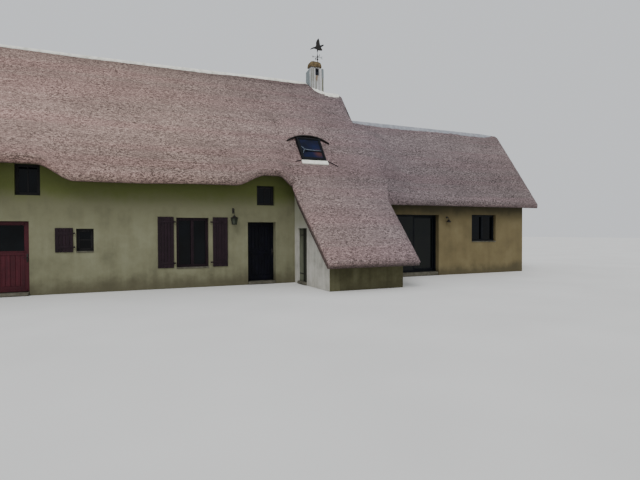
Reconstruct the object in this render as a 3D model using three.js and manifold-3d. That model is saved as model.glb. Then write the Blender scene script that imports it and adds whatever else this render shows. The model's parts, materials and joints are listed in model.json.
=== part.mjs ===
import * as THREE from 'three';
import { mergeVertices } from 'three/addons/utils/BufferGeometryUtils.js';
import Module from 'manifold-3d';

// A long thatched cottage with a lower wing on its right and a lean-to under a roof that sweeps down at the
// front. Millimetres, +Z up. The origin is on the ground under the main ridge, halfway along the main house.
// -Y is the garden front, +X runs along the front to the wing.

const wasm = await Module();
wasm.setup();
const { smoothstep } = THREE.MathUtils;

// Driving sizes
const GAP = 0.3;
const CLEAR = 6;
const FLOOR = 100;
const THATCH = 280;
const HOUSE = { left: -6950, right: 6950, front: -3300, rear: 3300, wall: 500 };
const WING = { left: 6950, right: 14650, front: -3300, rear: 1900, wall: 400 };
const LEAN_TO = { left: 3880, right: 6450, front: -6150, wall: 350 };
const MAIN_ROOF = {
  ridgeY: 0, eaveY: -3750, eaveZ: 3260, slope: 1.155, ridgeTop: 7890, left: -7350, right: 7350, settles: 190,
};
const WING_ROOF = {
  ridgeY: -700, eaveY: -3750, eaveZ: 2760, slope: 1.133, ridgeTop: 6470, left: 6950, right: 15370, settles: 0,
};
const WING_VERGE_LEAN = 720;
const SWEEP = {
  left: 3650, eaveY: -6500, eaveZ: 700, right: 7080, cornerIn: 290, upperIn: 230, upperTo: 1200,
};
const BROWS = [
  { centre: -4250, left: 1350, right: 1350, flat: 350, rise: 430 },
  { centre: 2860, left: 1050, right: 790, flat: 150, rise: 370 },
];
const DORMER = { x: 4665, width: 930, length: 1080, lowZ: 4300, tilt: 0.1, proud: 70, rim: 60, apron: 200 };
const HOOD = { half: 850, top: 1260, fall: 300, thick: 35, swell: 230, spread: 760 };
const CHIMNEY = { left: 5740, right: 6420, front: -250, rear: 190, top: 8690, neck: 110 };
const FLASHING = { out: 50, foot: 7450, leftTop: 7960, rightTop: 7765 };
const DOME = { x: 6050, half: 238, rise: 230, inset: 50, lip: 20 };
const VANE = { x: 6210, y: -30, socket: 90, ballZ: 9190, armZ: 9285, arm: 240, mastTop: 9420, tip: 9590 };

// Doorways: from x (or y) a to b, head height, and how far the leaf stands back from the outer face
const LEFT_DOOR = { a: -5020, b: -4100, head: 2090, recess: 120, leaf: 50 };
const ENTRANCE = { a: 2200, b: 3180, head: 2100, recess: 260, leaf: 50 };
const SIDE_DOOR = { a: -4390, b: -3620, head: 1890, recess: 50, leaf: 40, post: 170 };
const GARDEN_DOOR = { a: 7990, b: 10090, step: 150, head: 2430, recess: 190, depth: 150, rim: 60 };

// Shutters that stand open beside a window: hinge line, near and far edges measured from it, low and high ends
const SHUTTERS = {
  french_shutter_left: { hinge: -145, near: -45, far: -525, low: 650, high: 2250 },
  french_shutter_right: { hinge: 965, near: 65, far: 550, low: 650, high: 2250 },
  pantry_shutter: { hinge: -2960, near: -40, far: -500, low: 1200, high: 1900 },
};
const SHUTTER = { thick: 30, stand: 8, hingeOut: 40 };
const PIVOT = { inset: 12, radius: 10 };

// Windows in the walls: x from a to b, z from sill to head
const LOFT_WINDOW = { a: -4430, b: -3810, sill: 2820, head: 3700 };
const PANTRY_WINDOW = { a: -2920, b: -2460, sill: 1220, head: 1880 };
const FRENCH_WINDOW = { a: -110, b: 900, sill: 650, head: 2230 };
const OVER_DOOR_WINDOW = { a: 2520, b: 3140, sill: 2670, head: 3330 };
const WING_WINDOW = { a: 11790, b: 13100, sill: 1350, head: 2460 };
const REAR_WINDOWS = [
  { a: -5000, b: -4000, sill: 1150, head: 2230 },
  { a: -700, b: 300, sill: 1150, head: 2230 },
  { a: 3300, b: 4300, sill: 1150, head: 2230 },
];
const WING_REAR_WINDOW = { a: 10200, b: 11500, sill: 1350, head: 2460 };
const WINDOW_RECESS = 120;

const LANTERN = { x: 1700, plateZ: 2470, armZ: 2520, reach: 180, bodyZ: 2150, tall: 240 };
const WING_LAMP = { x: 10490, plateZ: 2330, shadeZ: 2190, reach: 130 };

const cottage = new THREE.Group();
cottage.name = 'thatched_cottage';

function paint(color, roughness, metalness = 0) {
  return new THREE.MeshStandardMaterial({ color, roughness, metalness });
}

const LOOK = {
  thatch: () => paint(0x8f7d73, 0.95),
  mortar: () => paint(0xd6d3ca, 0.9),
  render: () => paint(0xb9b08c, 0.9),
  wingRender: () => paint(0xb7a783, 0.9),
  whiteRender: () => paint(0xdad7cf, 0.9),
  stone: () => paint(0x8d887c, 0.85),
  floor: () => paint(0x8a8175, 0.85),
  plum: () => paint(0x4a2233, 0.55),
  maroon: () => paint(0x5a1a2b, 0.5),
  darkBlue: () => paint(0x23242e, 0.5),
  oldBoards: () => paint(0x7f8575, 0.8),
  darkFrame: () => paint(0x2a2c2e, 0.5),
  brownFrame: () => paint(0x4b3a2c, 0.6),
  glass: () => paint(0x2a3436, 0.1),
  iron: () => paint(0x23221f, 0.6, 0.6),
  moss: () => paint(0xa08a4a, 0.95),
};

function add(name, geometry, material) {
  const mesh = new THREE.Mesh(geometry, material);
  mesh.name = name;
  cottage.add(mesh);
}

function box(x0, x1, y0, y1, z0, z1) {
  const made = new THREE.BoxGeometry(x1 - x0, y1 - y0, z1 - z0);
  return made.translate((x0 + x1) / 2, (y0 + y1) / 2, (z0 + z1) / 2);
}

function rod(radius, from, to, sides = 12) {
  const a = new THREE.Vector3(...from);
  const b = new THREE.Vector3(...to);
  const made = new THREE.CylinderGeometry(radius, radius, a.distanceTo(b), sides);
  const along = b.clone().sub(a).normalize();
  const turn = new THREE.Quaternion().setFromUnitVectors(new THREE.Vector3(0, 1, 0), along);
  return made.applyQuaternion(turn).translate((a.x + b.x) / 2, (a.y + b.y) / 2, (a.z + b.z) / 2);
}

function solid(geometry) {
  const plain = geometry.clone();
  plain.deleteAttribute('normal');
  plain.deleteAttribute('uv');
  const merged = mergeVertices(plain, 1e-3);
  return new wasm.Manifold(new wasm.Mesh({
    numProp: 3,
    vertProperties: new Float32Array(merged.attributes.position.array),
    triVerts: new Uint32Array(merged.index.array),
  }));
}

function surface(body) {
  const mesh = body.getMesh();
  const made = new THREE.BufferGeometry();
  made.setAttribute('position', new THREE.BufferAttribute(new Float32Array(mesh.vertProperties), 3));
  made.setIndex(new THREE.BufferAttribute(new Uint32Array(mesh.triVerts), 1));
  made.computeVertexNormals();
  return made;
}

function join(...geometries) {
  return surface(geometries.map(solid).reduce((whole, next) => whole.add(next)));
}

function cut(geometry, ...cutters) {
  return surface(cutters.reduce((rest, cutter) => rest.subtract(solid(cutter)), solid(geometry)));
}

// A closed skin over cross-sections that follow one another along X. Each section is a loop of [x, y, z]
// points, counter-clockwise when seen from +X, and all sections have the same number of points.
function loft(sections) {
  const count = sections[0].length;
  const index = [];
  for (let i = 0; i + 1 < sections.length; i += 1) {
    for (let j = 0; j < count; j += 1) {
      const a = i * count + j;
      const b = i * count + ((j + 1) % count);
      index.push(a, b, b + count, a, b + count, a + count);
    }
  }
  const last = (sections.length - 1) * count;
  const flat = (section) => section.map(([, y, z]) => new THREE.Vector2(y, z));
  THREE.ShapeUtils.triangulateShape(flat(sections[0]), []).forEach(([a, b, c]) => index.push(a, c, b));
  THREE.ShapeUtils.triangulateShape(flat(sections.at(-1)), [])
    .forEach(([a, b, c]) => index.push(last + a, last + b, last + c));
  const made = new THREE.BufferGeometry();
  made.setAttribute('position', new THREE.Float32BufferAttribute(sections.flat(2), 3));
  made.setIndex(index);
  return made;
}

function spread(from, to, steps) {
  return Array.from({ length: steps + 1 }, (_, i) => from + (to - from) * i / steps);
}

// Roof form

// How much of the full swell an eyebrow has at x: level over its middle, then easing out to each side.
function browShare(brow, x) {
  const out = Math.abs(x - brow.centre) - brow.flat;
  const reach = (x < brow.centre ? brow.left : brow.right) - brow.flat;
  if (out <= 0) return 1;
  return out >= reach ? 0 : 0.5 * (1 + Math.cos(Math.PI * out / reach));
}

// The swell of the eyebrows, strongest at the eave and gone halfway up the slope.
function browLift(x, share) {
  const fade = Math.max(0, 1 - share / 0.5) ** 2;
  return fade * Math.max(...BROWS.map((brow) => brow.rise * browShare(brow, x)));
}

function noLift() {
  return 0;
}

function leanOf(roof) {
  const length = Math.hypot(1, roof.slope);
  return { rise: THATCH * length, out: THATCH * roof.slope / length, up: THATCH / length };
}

function topPlane(roof, y, thickness) {
  return roof.eaveZ + (y - roof.eaveY) * roof.slope + leanOf(roof).rise * thickness;
}

// The underside is level for the last hand-width below the ridge.
function undersideOf(roof, y) {
  return Math.min(roof.eaveZ + (y - roof.eaveY) * roof.slope, roof.ridgeTop - 480);
}

// The crest drops at a thinned verge, and the main one has settled beyond the chimney.
function crestOf(roof, x, thickness) {
  const settled = roof.settles * smoothstep(x, CHIMNEY.left, CHIMNEY.right);
  return roof.ridgeTop - settled - 200 * (1 - thickness);
}

// One slope as [y, z] loops: the underside from eave to ridge, then the top back down to a rounded lip.
function slopeSection(roof, x, thickness, lift, shares) {
  const lean = leanOf(roof);
  const run = roof.ridgeY - roof.eaveY;
  const crest = crestOf(roof, x, thickness);
  const under = shares.map((s) => {
    const y = roof.eaveY + s * run;
    return [y, undersideOf(roof, y) + lift(x, s)];
  });
  const lipY = roof.eaveY - lean.out * thickness;
  const top = shares.map((s) => {
    const y = lipY + s * (roof.ridgeY - lipY);
    return [y, Math.min(topPlane(roof, y, thickness), crest) + lift(x, s)];
  });
  const lip = [roof.eaveY - lean.out * thickness * 0.62, roof.eaveZ + lean.up * thickness * 0.4 + lift(x, 0)];
  top[0][1] += 30;
  top[0][0] += 35;
  return [...under, ...top.reverse(), lip];
}

// The thatch thins over its last hand-widths before a free verge at x = end.
function vergeShare(x, end) {
  const inward = Math.abs(x - end);
  return Math.min(1, 0.45 + 0.55 * Math.sqrt(Math.min(1, inward / 260)));
}

const FRONT_SHARES = [0, 0.07, 0.15, 0.24, 0.35, 0.5, 0.963, 1];
const PLAIN_SHARES = [0, 0.5, 0.963, 1];
const WING_SHARES = [0, 0.12, 0.25, 0.4, 0.55, 0.68, 0.8, 0.9, 0.963, 1];

// Stations along the front slope, close together where an eyebrow bends it
function browStations(end) {
  return [...spread(-5600, -2900, 12), ...spread(1810, 2500, 4), 2700, 3010, ...spread(3150, end, 5)];
}

function placed(section, x, mirrorY) {
  const points = section.map(([y, z]) => [x, mirrorY === undefined ? y : 2 * mirrorY - y, z]);
  return mirrorY === undefined ? points : points.reverse();
}

function thatchFront() {
  const { left } = MAIN_ROOF;
  const stations = [left, left + 80, left + 260, ...browStations(SWEEP.left - GAP)];
  return loft(stations.map((x) =>
    placed(slopeSection(MAIN_ROOF, x, vergeShare(x, left), browLift, FRONT_SHARES), x)));
}

function thatchRear() {
  const { left, right } = MAIN_ROOF;
  const roof = { ...MAIN_ROOF, ridgeY: -GAP / 2 };
  const stations = [left, left + 80, left + 260, ...spread(CHIMNEY.left, CHIMNEY.right, 4),
    right - 260, right - 80, right];
  return loft(stations.map((x) => {
    const thickness = Math.min(vergeShare(x, left), vergeShare(x, right));
    return placed(slopeSection(roof, x, thickness, noLift, PLAIN_SHARES), x, 0);
  }));
}

// The slope runs on past the eave line, flatter, down to the lean-to's low eave.
function sweepSlope() {
  return (MAIN_ROOF.eaveZ - SWEEP.eaveZ) / (MAIN_ROOF.eaveY - SWEEP.eaveY);
}

function sweepUnder(y) {
  return y > MAIN_ROOF.eaveY
    ? undersideOf(MAIN_ROOF, y)
    : MAIN_ROOF.eaveZ + (y - MAIN_ROOF.eaveY) * sweepSlope();
}

// The thatch swells over the roof light's hood and dies away up the slope and to both sides.
function hoodLift(x, y) {
  const headY = slopePoint(0, HOOD.top, 0)[1];
  const side = Math.exp(-(((x - DORMER.x) / HOOD.spread) ** 4));
  const reach = y < headY ? 120 : 800;
  return HOOD.swell * side * Math.exp(-(((y - headY) / reach) ** 2));
}

function sweepTop(x, y, thickness) {
  const rise = THATCH * Math.hypot(1, sweepSlope()) * thickness;
  const plain = y > MAIN_ROOF.eaveY ? topPlane(MAIN_ROOF, y, thickness) : sweepUnder(y) + rise;
  return Math.min(plain + hoodLift(x, y), crestOf(MAIN_ROOF, x, thickness));
}

// The right verge leans in from the main ridge to the wing's, draws in below the wing's eave, and again at the
// low corner.
function sweepEnd(y) {
  const leaning = Math.min(1, -y / SWEEP.upperTo) * (1 - smoothstep(-y, SWEEP.upperTo, SWEEP.upperTo + 400));
  const drawnIn = (MAIN_ROOF.right - SWEEP.right) * smoothstep(-y, 3700, 4500);
  return MAIN_ROOF.right - SWEEP.upperIn * leaning - drawnIn - SWEEP.cornerIn * smoothstep(-y, 5700, 6700);
}

// The right verge is free above the wing's ridge and below its eave. Between them it meets the wing's thatch.
function sweepThickness(x, y) {
  const free = Math.max(smoothstep(y, -1500, -900), smoothstep(-y, 3850, 4300));
  const right = 1 - (1 - vergeShare(x, sweepEnd(y))) * free;
  return y < MAIN_ROOF.eaveY - 100 ? Math.min(right, vergeShare(x, SWEEP.left)) : right;
}

function thatchSweep() {
  const lipY = SWEEP.eaveY - 190;
  const unders = [SWEEP.eaveY, -5100, MAIN_ROOF.eaveY, -1900, -1400, -1200, -700, -157, -GAP / 2];
  const tops = [lipY, -6560, -6100, -5100, -4400, -4050, -3850, -3700, -3450, -3150, -2850, -2720, -2640,
    -2560, -2400, -2200, -2000, -1800, -1600, -1400, -1200, -900, -600, -300, -120, -GAP / 2];
  const shares = [0, 0.02, 0.06, ...spread(0.08, 0.48, 12), 0.56, 0.66, 0.76, 0.9, 0.93, 0.975, 1];
  const at = (u, y) => SWEEP.left + u * (sweepEnd(y) - SWEEP.left);
  const sections = shares.map((u) => {
    const lower = unders.map((y) => [at(u, y), y, sweepUnder(y)]);
    const upper = tops.map((y) => [at(u, y), y, sweepTop(at(u, y), y, sweepThickness(at(u, y), y))]);
    const lipShare = sweepThickness(at(u, lipY), lipY);
    upper[0] = [upper[0][0], SWEEP.eaveY - 170 * lipShare, SWEEP.eaveZ + 185 * lipShare];
    return [...lower, ...upper.reverse()];
  });
  return loft(sections);
}

// Everything above a slope's underside, less a small gap: it trims the tops of the walls.
function roofVoid(roof, lift, shares, stations, mirrorY) {
  const high = 12000;
  const run = roof.ridgeY - roof.eaveY + 1;
  const outerY = roof.eaveY - 200;
  return loft(stations.map((x) => {
    const under = shares.map((s) =>
      [roof.eaveY + s * run, undersideOf(roof, roof.eaveY + s * run) + lift(x, s) - GAP]);
    return placed([...under, [roof.ridgeY + 1, high], [outerY, high], [outerY, roof.eaveZ]], x, mirrorY);
  }));
}

function frontVoid() {
  return roofVoid(MAIN_ROOF, browLift, FRONT_SHARES, [-7500, ...browStations(SWEEP.left), 7500]);
}

function rearVoid() {
  return roofVoid(MAIN_ROOF, noLift, PLAIN_SHARES, [-7500, 7500], 0);
}

function leanToVoid() {
  const high = 12000;
  const lowY = SWEEP.eaveY - 200;
  const backY = -3000;
  const loop = (x) => [[x, lowY, sweepUnder(lowY) - GAP], [x, MAIN_ROOF.eaveY, MAIN_ROOF.eaveZ - GAP],
    [x, backY, sweepUnder(backY) - GAP], [x, backY, high], [x, lowY, high]];
  return loft([loop(3000), loop(7500)]);
}

function wingVoid(mirrorY) {
  return roofVoid(WING_ROOF, noLift, PLAIN_SHARES, [6000, 16000], mirrorY);
}

// The wing's thatch is piled up against the side of the main slope, so that the two surfaces run together.
function piledThatch(x, y) {
  const step = topPlane(MAIN_ROOF, y, 1) - topPlane(WING_ROOF, y, 1);
  const away = 1 - smoothstep(x, MAIN_ROOF.right, MAIN_ROOF.right + 1100);
  return step * away * (1 - smoothstep(y, -2300, -900));
}

// A stretch of one wing slope. The verge reaches out further at the ridge than at the eave.
function wingStretch(from, to, stations, pile, mirrorY) {
  const roof = { ...WING_ROOF, ridgeY: WING_ROOF.ridgeY - GAP / 2 };
  const topFrom = WING_SHARES.length;
  const lean = (y) => WING_VERGE_LEAN * ((y - roof.eaveY) / (roof.ridgeY - roof.eaveY) - 0.5);
  const sections = stations.map((x0) => {
    const thickness = vergeShare(x0, WING_ROOF.right);
    const leaning = smoothstep(x0, from, WING_ROOF.right) * (to === WING_ROOF.right ? 1 : 0);
    const crest = crestOf(roof, x0, thickness);
    const points = slopeSection(roof, x0, thickness, noLift, WING_SHARES).map(([y, z], i) => {
      const x = x0 + leaning * lean(y);
      const isTop = i >= topFrom && i < 2 * topFrom;
      return [x, y, isTop ? Math.min(z + pile(x, y), crest) : z];
    });
    return mirrorY === undefined ? points : points.map(([x, y, z]) => [x, 2 * mirrorY - y, z]).reverse();
  });
  return loft(sections);
}

function wingThatch(pile, mirrorY) {
  const { left, right } = WING_ROOF;
  const meet = MAIN_ROOF.right + GAP;
  const tucked = wingStretch(left + GAP, meet + 1, [left + GAP, meet + 1], noLift, mirrorY);
  const stations = [...spread(meet, meet + 1120, 8), 11000, 14000, ...spread(right - 260, right, 4)];
  return join(tucked, wingStretch(meet, right, stations, pile, mirrorY));
}

// Ridge caps: a low rounded kerb of mortar along the flat crest of the thatch
function ridgeCap(x0, x1, y, foot, half, height) {
  const outline = new THREE.Shape();
  outline.moveTo(-half, 0);
  outline.lineTo(half, 0);
  outline.lineTo(half * 0.95, height * 0.55);
  outline.quadraticCurveTo(half * 0.8, height, 0, height);
  outline.quadraticCurveTo(-half * 0.8, height, -half * 0.95, height * 0.55);
  outline.closePath();
  const made = new THREE.ExtrudeGeometry(outline, { depth: x1 - x0, bevelEnabled: false, curveSegments: 4 });
  made.rotateX(Math.PI / 2).rotateZ(Math.PI / 2);
  return made.translate(x0, y, foot + GAP);
}

// The mortar flashing rings the chimney and joins the two lengths of the main cap.
function flashing() {
  const { out, foot, leftTop, rightTop } = FLASHING;
  const y0 = CHIMNEY.front - out;
  const y1 = CHIMNEY.rear + out;
  const section = (x, top) => [[x, y0, foot], [x, y1, foot], [x, y1, top], [x, y0, top]];
  return loft([section(CHIMNEY.left - out, leftTop), section(CHIMNEY.right + out, rightTop)]);
}

function stackRoom(foot, grow = GAP) {
  return box(CHIMNEY.left - grow, CHIMNEY.right + grow, CHIMNEY.front - grow, CHIMNEY.rear + grow, foot, 9000);
}

function buildRidgeCaps() {
  const { ridgeTop, settles } = MAIN_ROOF;
  const left = ridgeCap(MAIN_ROOF.left + 300, CHIMNEY.left - 10, 0, ridgeTop, 110, 130);
  const right = ridgeCap(CHIMNEY.right + 10, MAIN_ROOF.right - 270, 0, ridgeTop - settles, 110, 70);
  add('main_ridge_cap', cut(join(left, flashing(), right), stackRoom(0)), LOOK.mortar());
  const { right: end, ridgeY, ridgeTop: crest } = WING_ROOF;
  add('wing_ridge_cap', ridgeCap(MAIN_ROOF.right + 2 * GAP, end - 270, ridgeY, crest, 110, 70), LOOK.mortar());
}

// The roof light lies on the slope. Its local axes are x, up the slope, and out of the slope.
function slopeAngle() {
  return Math.atan(MAIN_ROOF.slope);
}

function slopePoint(x, along, out) {
  const angle = slopeAngle();
  const footY = MAIN_ROOF.eaveY + (DORMER.lowZ - topPlane(MAIN_ROOF, MAIN_ROOF.eaveY, 1)) / MAIN_ROOF.slope;
  return [DORMER.x + x, footY + along * Math.cos(angle) - out * Math.sin(angle),
    DORMER.lowZ + along * Math.sin(angle) + out * Math.cos(angle)];
}

function onSlope(geometry, tilt) {
  return geometry.rotateX(slopeAngle() + tilt).translate(...slopePoint(0, 0, 0));
}

function dormerBox(inset, low, high) {
  const half = DORMER.width / 2 - inset;
  return onSlope(box(-half, half, inset, DORMER.length - inset, low, high), DORMER.tilt);
}

function hoodEdge(x) {
  return HOOD.top - HOOD.fall * (x / HOOD.half) ** 2;
}

// The hood is a bent strip over the head of the roof light, filled in down to the frame. Grown by a gap, the
// same form cuts the thatch to make room for it.
function hoodBody(gap, fillTo, high) {
  const frameHalf = DORMER.width / 2 + gap;
  const sideSteps = spread(frameHalf + 1, HOOD.half + gap, 6);
  const stations = [...sideSteps.map((x) => -x).reverse(), ...spread(-frameHalf, frameHalf, 8), ...sideSteps];
  return loft(stations.map((x) => {
    const low = Math.abs(x) > frameHalf ? hoodEdge(x) - HOOD.thick - gap : fillTo;
    const top = hoodEdge(x) + gap;
    const out = high ?? 40 + 120 * Math.exp(-((x / HOOD.spread) ** 4));
    const under = -60 - gap;
    return [[low, under], [top, under], [top, out], [low, out]].map(([v, w]) => slopePoint(x, v, w));
  }));
}

function buildRoofLight() {
  const { rim, proud, length, apron } = DORMER;
  const half = DORMER.width / 2 + 40;
  const sill = box(-half, half, -apron, -CLEAR, GAP, 55);
  add('roof_light_frame', cut(dormerBox(0, -THATCH, proud), dormerBox(rim, -400, 400)), LOOK.darkFrame());
  add('roof_light_glass', dormerBox(rim + GAP, proud - 40, proud - 22), LOOK.glass());
  add('roof_light_hood', hoodBody(0, length + 32, undefined), LOOK.iron());
  add('roof_light_apron', onSlope(sill, 0), LOOK.mortar());
}

function buildThatch() {
  const chimneyHoles = [stackRoom(0), stackRoom(FLASHING.foot - GAP, FLASHING.out + GAP)];
  const lightHole = dormerBox(-GAP, -500, 700);
  const hoodHole = hoodBody(GAP, DORMER.length - 80, 600);
  add('thatch_front', thatchFront(), LOOK.thatch());
  add('thatch_sweep', cut(thatchSweep(), ...chimneyHoles, lightHole, hoodHole), LOOK.thatch());
  add('thatch_rear', cut(thatchRear(), ...chimneyHoles), LOOK.thatch());
  add('wing_thatch_front', wingThatch(piledThatch), LOOK.thatch());
  add('wing_thatch_rear', wingThatch(noLift, WING_ROOF.ridgeY), LOOK.thatch());
}

// Chimney and weather vane

function buildChimney() {
  const { left, right, front, rear, top, neck } = CHIMNEY;
  const shaft = box(left, right, front, rear, FLOOR + GAP, top);
  const { half, rise, inset, lip } = DOME;
  const collar = box(DOME.x - half + lip, DOME.x + half - lip, front + inset + lip, rear - inset - lip, top - 10,
    top + neck);
  const vent = box(VANE.x - 190, VANE.x - 50, front - 10, front + 120, top - 250, top - 20);
  add('chimney_stack', cut(join(shaft, collar), vent), LOOK.whiteRender());
  const arch = new THREE.Shape();
  arch.moveTo(-half, 0);
  arch.lineTo(half, 0);
  arch.lineTo(half * 0.94, rise * 0.42);
  arch.quadraticCurveTo(half * 0.7, rise, 0, rise);
  arch.quadraticCurveTo(-half * 0.7, rise, -half * 0.94, rise * 0.42);
  arch.closePath();
  const depth = rear - front - 2 * inset;
  const dome = new THREE.ExtrudeGeometry(arch, { depth, bevelEnabled: false, curveSegments: 6 });
  dome.rotateX(Math.PI / 2).translate(DOME.x, rear - inset, top + neck + GAP);
  const socketFoot = top + neck + VANE.socket;
  const socket = rod(14 + GAP, [VANE.x, VANE.y, socketFoot], [VANE.x, VANE.y, socketFoot + rise]);
  add('chimney_cap', cut(dome, socket), LOOK.moss());
}

// The bird's outline, in x from the mast and z from the top of the mast
const BIRD = [
  [-350, -20], [-290, 30], [-200, 60], [-110, 75], [-60, 95], [-50, 200], [-35, 330], [10, 460], [50, 530],
  [85, 440], [110, 330], [110, 215], [190, 235], [300, 290], [310, 260], [190, 150], [240, 60], [215, 10],
  [140, -10], [20, -10], [-110, 15], [-210, 10],
];

function buildVane() {
  const { x, y, socket, ballZ, armZ, arm, mastTop, tip } = VANE;
  const foot = CHIMNEY.top + CHIMNEY.neck + socket + 2 * GAP;
  const ball = new THREE.SphereGeometry(42, 12, 8).translate(x, y, ballZ);
  const spindle = new THREE.CylinderGeometry(8, 34, 120, 12).rotateX(Math.PI / 2).translate(x, y, armZ + 80);
  const mast = join(rod(14, [x, y, foot], [x, y, mastTop]), ball, spindle,
    rod(9, [x - arm, y, armZ], [x + arm, y, armZ], 8), rod(9, [x, y - arm, armZ], [x, y + arm, armZ], 8),
    rod(9, [x, y, mastTop - 10], [x, y, tip]));
  add('vane_mast', mast, LOOK.iron());
  const outline = new THREE.Shape(BIRD.map(([across, up]) => new THREE.Vector2(across, up)));
  const flat = new THREE.ExtrudeGeometry(outline, { depth: 12, bevelEnabled: false });
  flat.rotateX(Math.PI / 2).translate(x, y + 6, tip - 5);
  const sleeve = rod(24, [x, y, tip - 60], [x, y, tip + 40]);
  const bore = rod(15, [x, y, tip - 160], [x, y, tip + GAP]);
  add('vane_bird', cut(join(flat, sleeve), bore), LOOK.iron());
}

// Walls

function hole(w, y0, y1) {
  return box(w.a, w.b, y0, y1, w.sill, w.head);
}

function buildHouseWalls() {
  const { left, right, front, rear, wall } = HOUSE;
  const inner = front + wall;
  const roof = frontVoid();
  const windows = [LOFT_WINDOW, PANTRY_WINDOW, FRENCH_WINDOW, OVER_DOOR_WINDOW];
  const holes = windows.map((w) => hole(w, front - 10, inner + 10));
  const piece = (name, x0, x1, z0, irons = []) =>
    add(name, join(cut(box(x0, x1, front, inner, z0, 6000), roof, ...holes), ...irons), LOOK.render());
  piece('front_wall_left', left, LEFT_DOOR.a - GAP, 0);
  piece('front_wall_over_left_door', LEFT_DOOR.a, LEFT_DOOR.b - GAP, LEFT_DOOR.head);
  piece('front_wall_middle', LEFT_DOOR.b, ENTRANCE.a - GAP, 0, pintles());
  piece('front_wall_over_entrance', ENTRANCE.a, ENTRANCE.b - GAP, ENTRANCE.head);
  piece('front_wall_right', ENTRANCE.b, right, 0);
  const back = cut(box(left, right, rear - wall, rear, 0, 6000), rearVoid(),
    ...REAR_WINDOWS.map((w) => hole(w, rear - wall - 10, rear + 10)));
  add('rear_wall', back, LOOK.render());
  const from = inner + GAP;
  const to = rear - wall - GAP;
  const gable = (x0, x1) => cut(box(x0, x1, from, to, 0, 9000), roof, rearVoid());
  add('left_gable_wall', gable(left, left + wall), LOOK.render());
  add('right_gable_wall', gable(right - wall, right), LOOK.render());
  add('house_floor', box(left + wall + GAP, right - wall - GAP, from, to, 0, FLOOR), LOOK.floor());
}

function buildWingWalls() {
  const { right, front, rear, wall } = WING;
  const left = WING.left + GAP;
  const inner = front + wall;
  const frontRoof = wingVoid();
  const rearRoof = wingVoid(WING_ROOF.ridgeY);
  const doorway = box(GARDEN_DOOR.a, GARDEN_DOOR.b, front - 10, inner + 10, -10, GARDEN_DOOR.head);
  const first = box(left, GARDEN_DOOR.b - GAP, front, inner, 0, 5000);
  add('wing_front_wall_left', cut(first, frontRoof, doorway), LOOK.wingRender());
  const second = box(GARDEN_DOOR.b, right, front, inner, 0, 5000);
  const frontHole = hole(WING_WINDOW, front - 10, inner + 10);
  add('wing_front_wall_right', cut(second, frontRoof, frontHole), LOOK.wingRender());
  const back = box(left, right, rear - wall, rear, 0, 5000);
  const rearHole = hole(WING_REAR_WINDOW, rear - wall - 10, rear + 10);
  add('wing_rear_wall', cut(back, rearRoof, rearHole), LOOK.wingRender());
  const gable = box(right - wall, right, inner + GAP, rear - wall - GAP, 0, 8000);
  add('wing_gable_wall', cut(gable, frontRoof, rearRoof), LOOK.wingRender());
  add('wing_floor', box(left, right - wall - GAP, inner + GAP, rear - wall - GAP, 0, FLOOR), LOOK.floor());
}

function buildLeanTo() {
  const { left, right, front, wall } = LEAN_TO;
  const back = HOUSE.front - GAP;
  const high = 4000;
  const roof = leanToVoid();
  const doorway = box(left - 10, left + wall + 10, SIDE_DOOR.a, SIDE_DOOR.b, -10, SIDE_DOOR.head);
  const side = box(left, left + wall, front, back, 0, high);
  add('lean_to_side_wall', cut(side, roof, doorway), LOOK.whiteRender());
  const low = box(left + wall + GAP, right, front, front + wall, 0, high);
  add('lean_to_front_wall', cut(low, roof), LOOK.render());
  const far = box(right - wall, right, front + wall + GAP, back, 0, high);
  add('lean_to_right_wall', cut(far, roof), LOOK.render());
  const floor = box(left + wall + GAP, right - wall - GAP, front + wall + GAP, back, 0, FLOOR);
  add('lean_to_floor', floor, LOOK.floor());
}

// Doors

// Each hinged leaf turns on a pin that stands on the doorstep, centred on the line of the leaf's inner face.
function pivotPin(x, y) {
  return rod(PIVOT.radius, [x, y, FLOOR + GAP], [x, y, FLOOR + 60]);
}

function buildLeftDoor() {
  const { a, b, head, recess, leaf } = LEFT_DOOR;
  const y = HOUSE.front + recess;
  const blank = box(a + CLEAR, b - CLEAR, y, y + leaf, FLOOR + CLEAR, head - CLEAR);
  const pane = { a: a + 116, b: b - 116, sill: 1240, head: 1995 };
  const weatherBar = box(a + 30, b - 30, y - 22, y + 5, FLOOR + 12, FLOOR + 50);
  const pin = pivotPin(a + CLEAR + PIVOT.inset, y + leaf);
  add('left_door_leaf', cut(join(blank, weatherBar, pin), hole(pane, y - 30, y + 80)), LOOK.maroon());
  const glass = box(pane.a + GAP, pane.b - GAP, y + 19, y + 31, pane.sill + GAP, pane.head - GAP);
  add('left_door_glass', glass, LOOK.glass());
  add('left_door_step', box(a, b - GAP, HOUSE.front - 120, HOUSE.front + HOUSE.wall, 0, FLOOR), LOOK.stone());
}

function buildEntrance() {
  const { a, b, head, recess, leaf } = ENTRANCE;
  const y = HOUSE.front + recess;
  const slab = box(a + CLEAR, b - CLEAR, y, y + leaf, FLOOR + CLEAR, head - CLEAR);
  add('entrance_leaf', join(slab, pivotPin(a + CLEAR + PIVOT.inset, y + leaf)), LOOK.darkBlue());
  add('entrance_step', box(a, b - GAP, HOUSE.front - 60, HOUSE.front + HOUSE.wall, 0, FLOOR), LOOK.stone());
}

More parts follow.
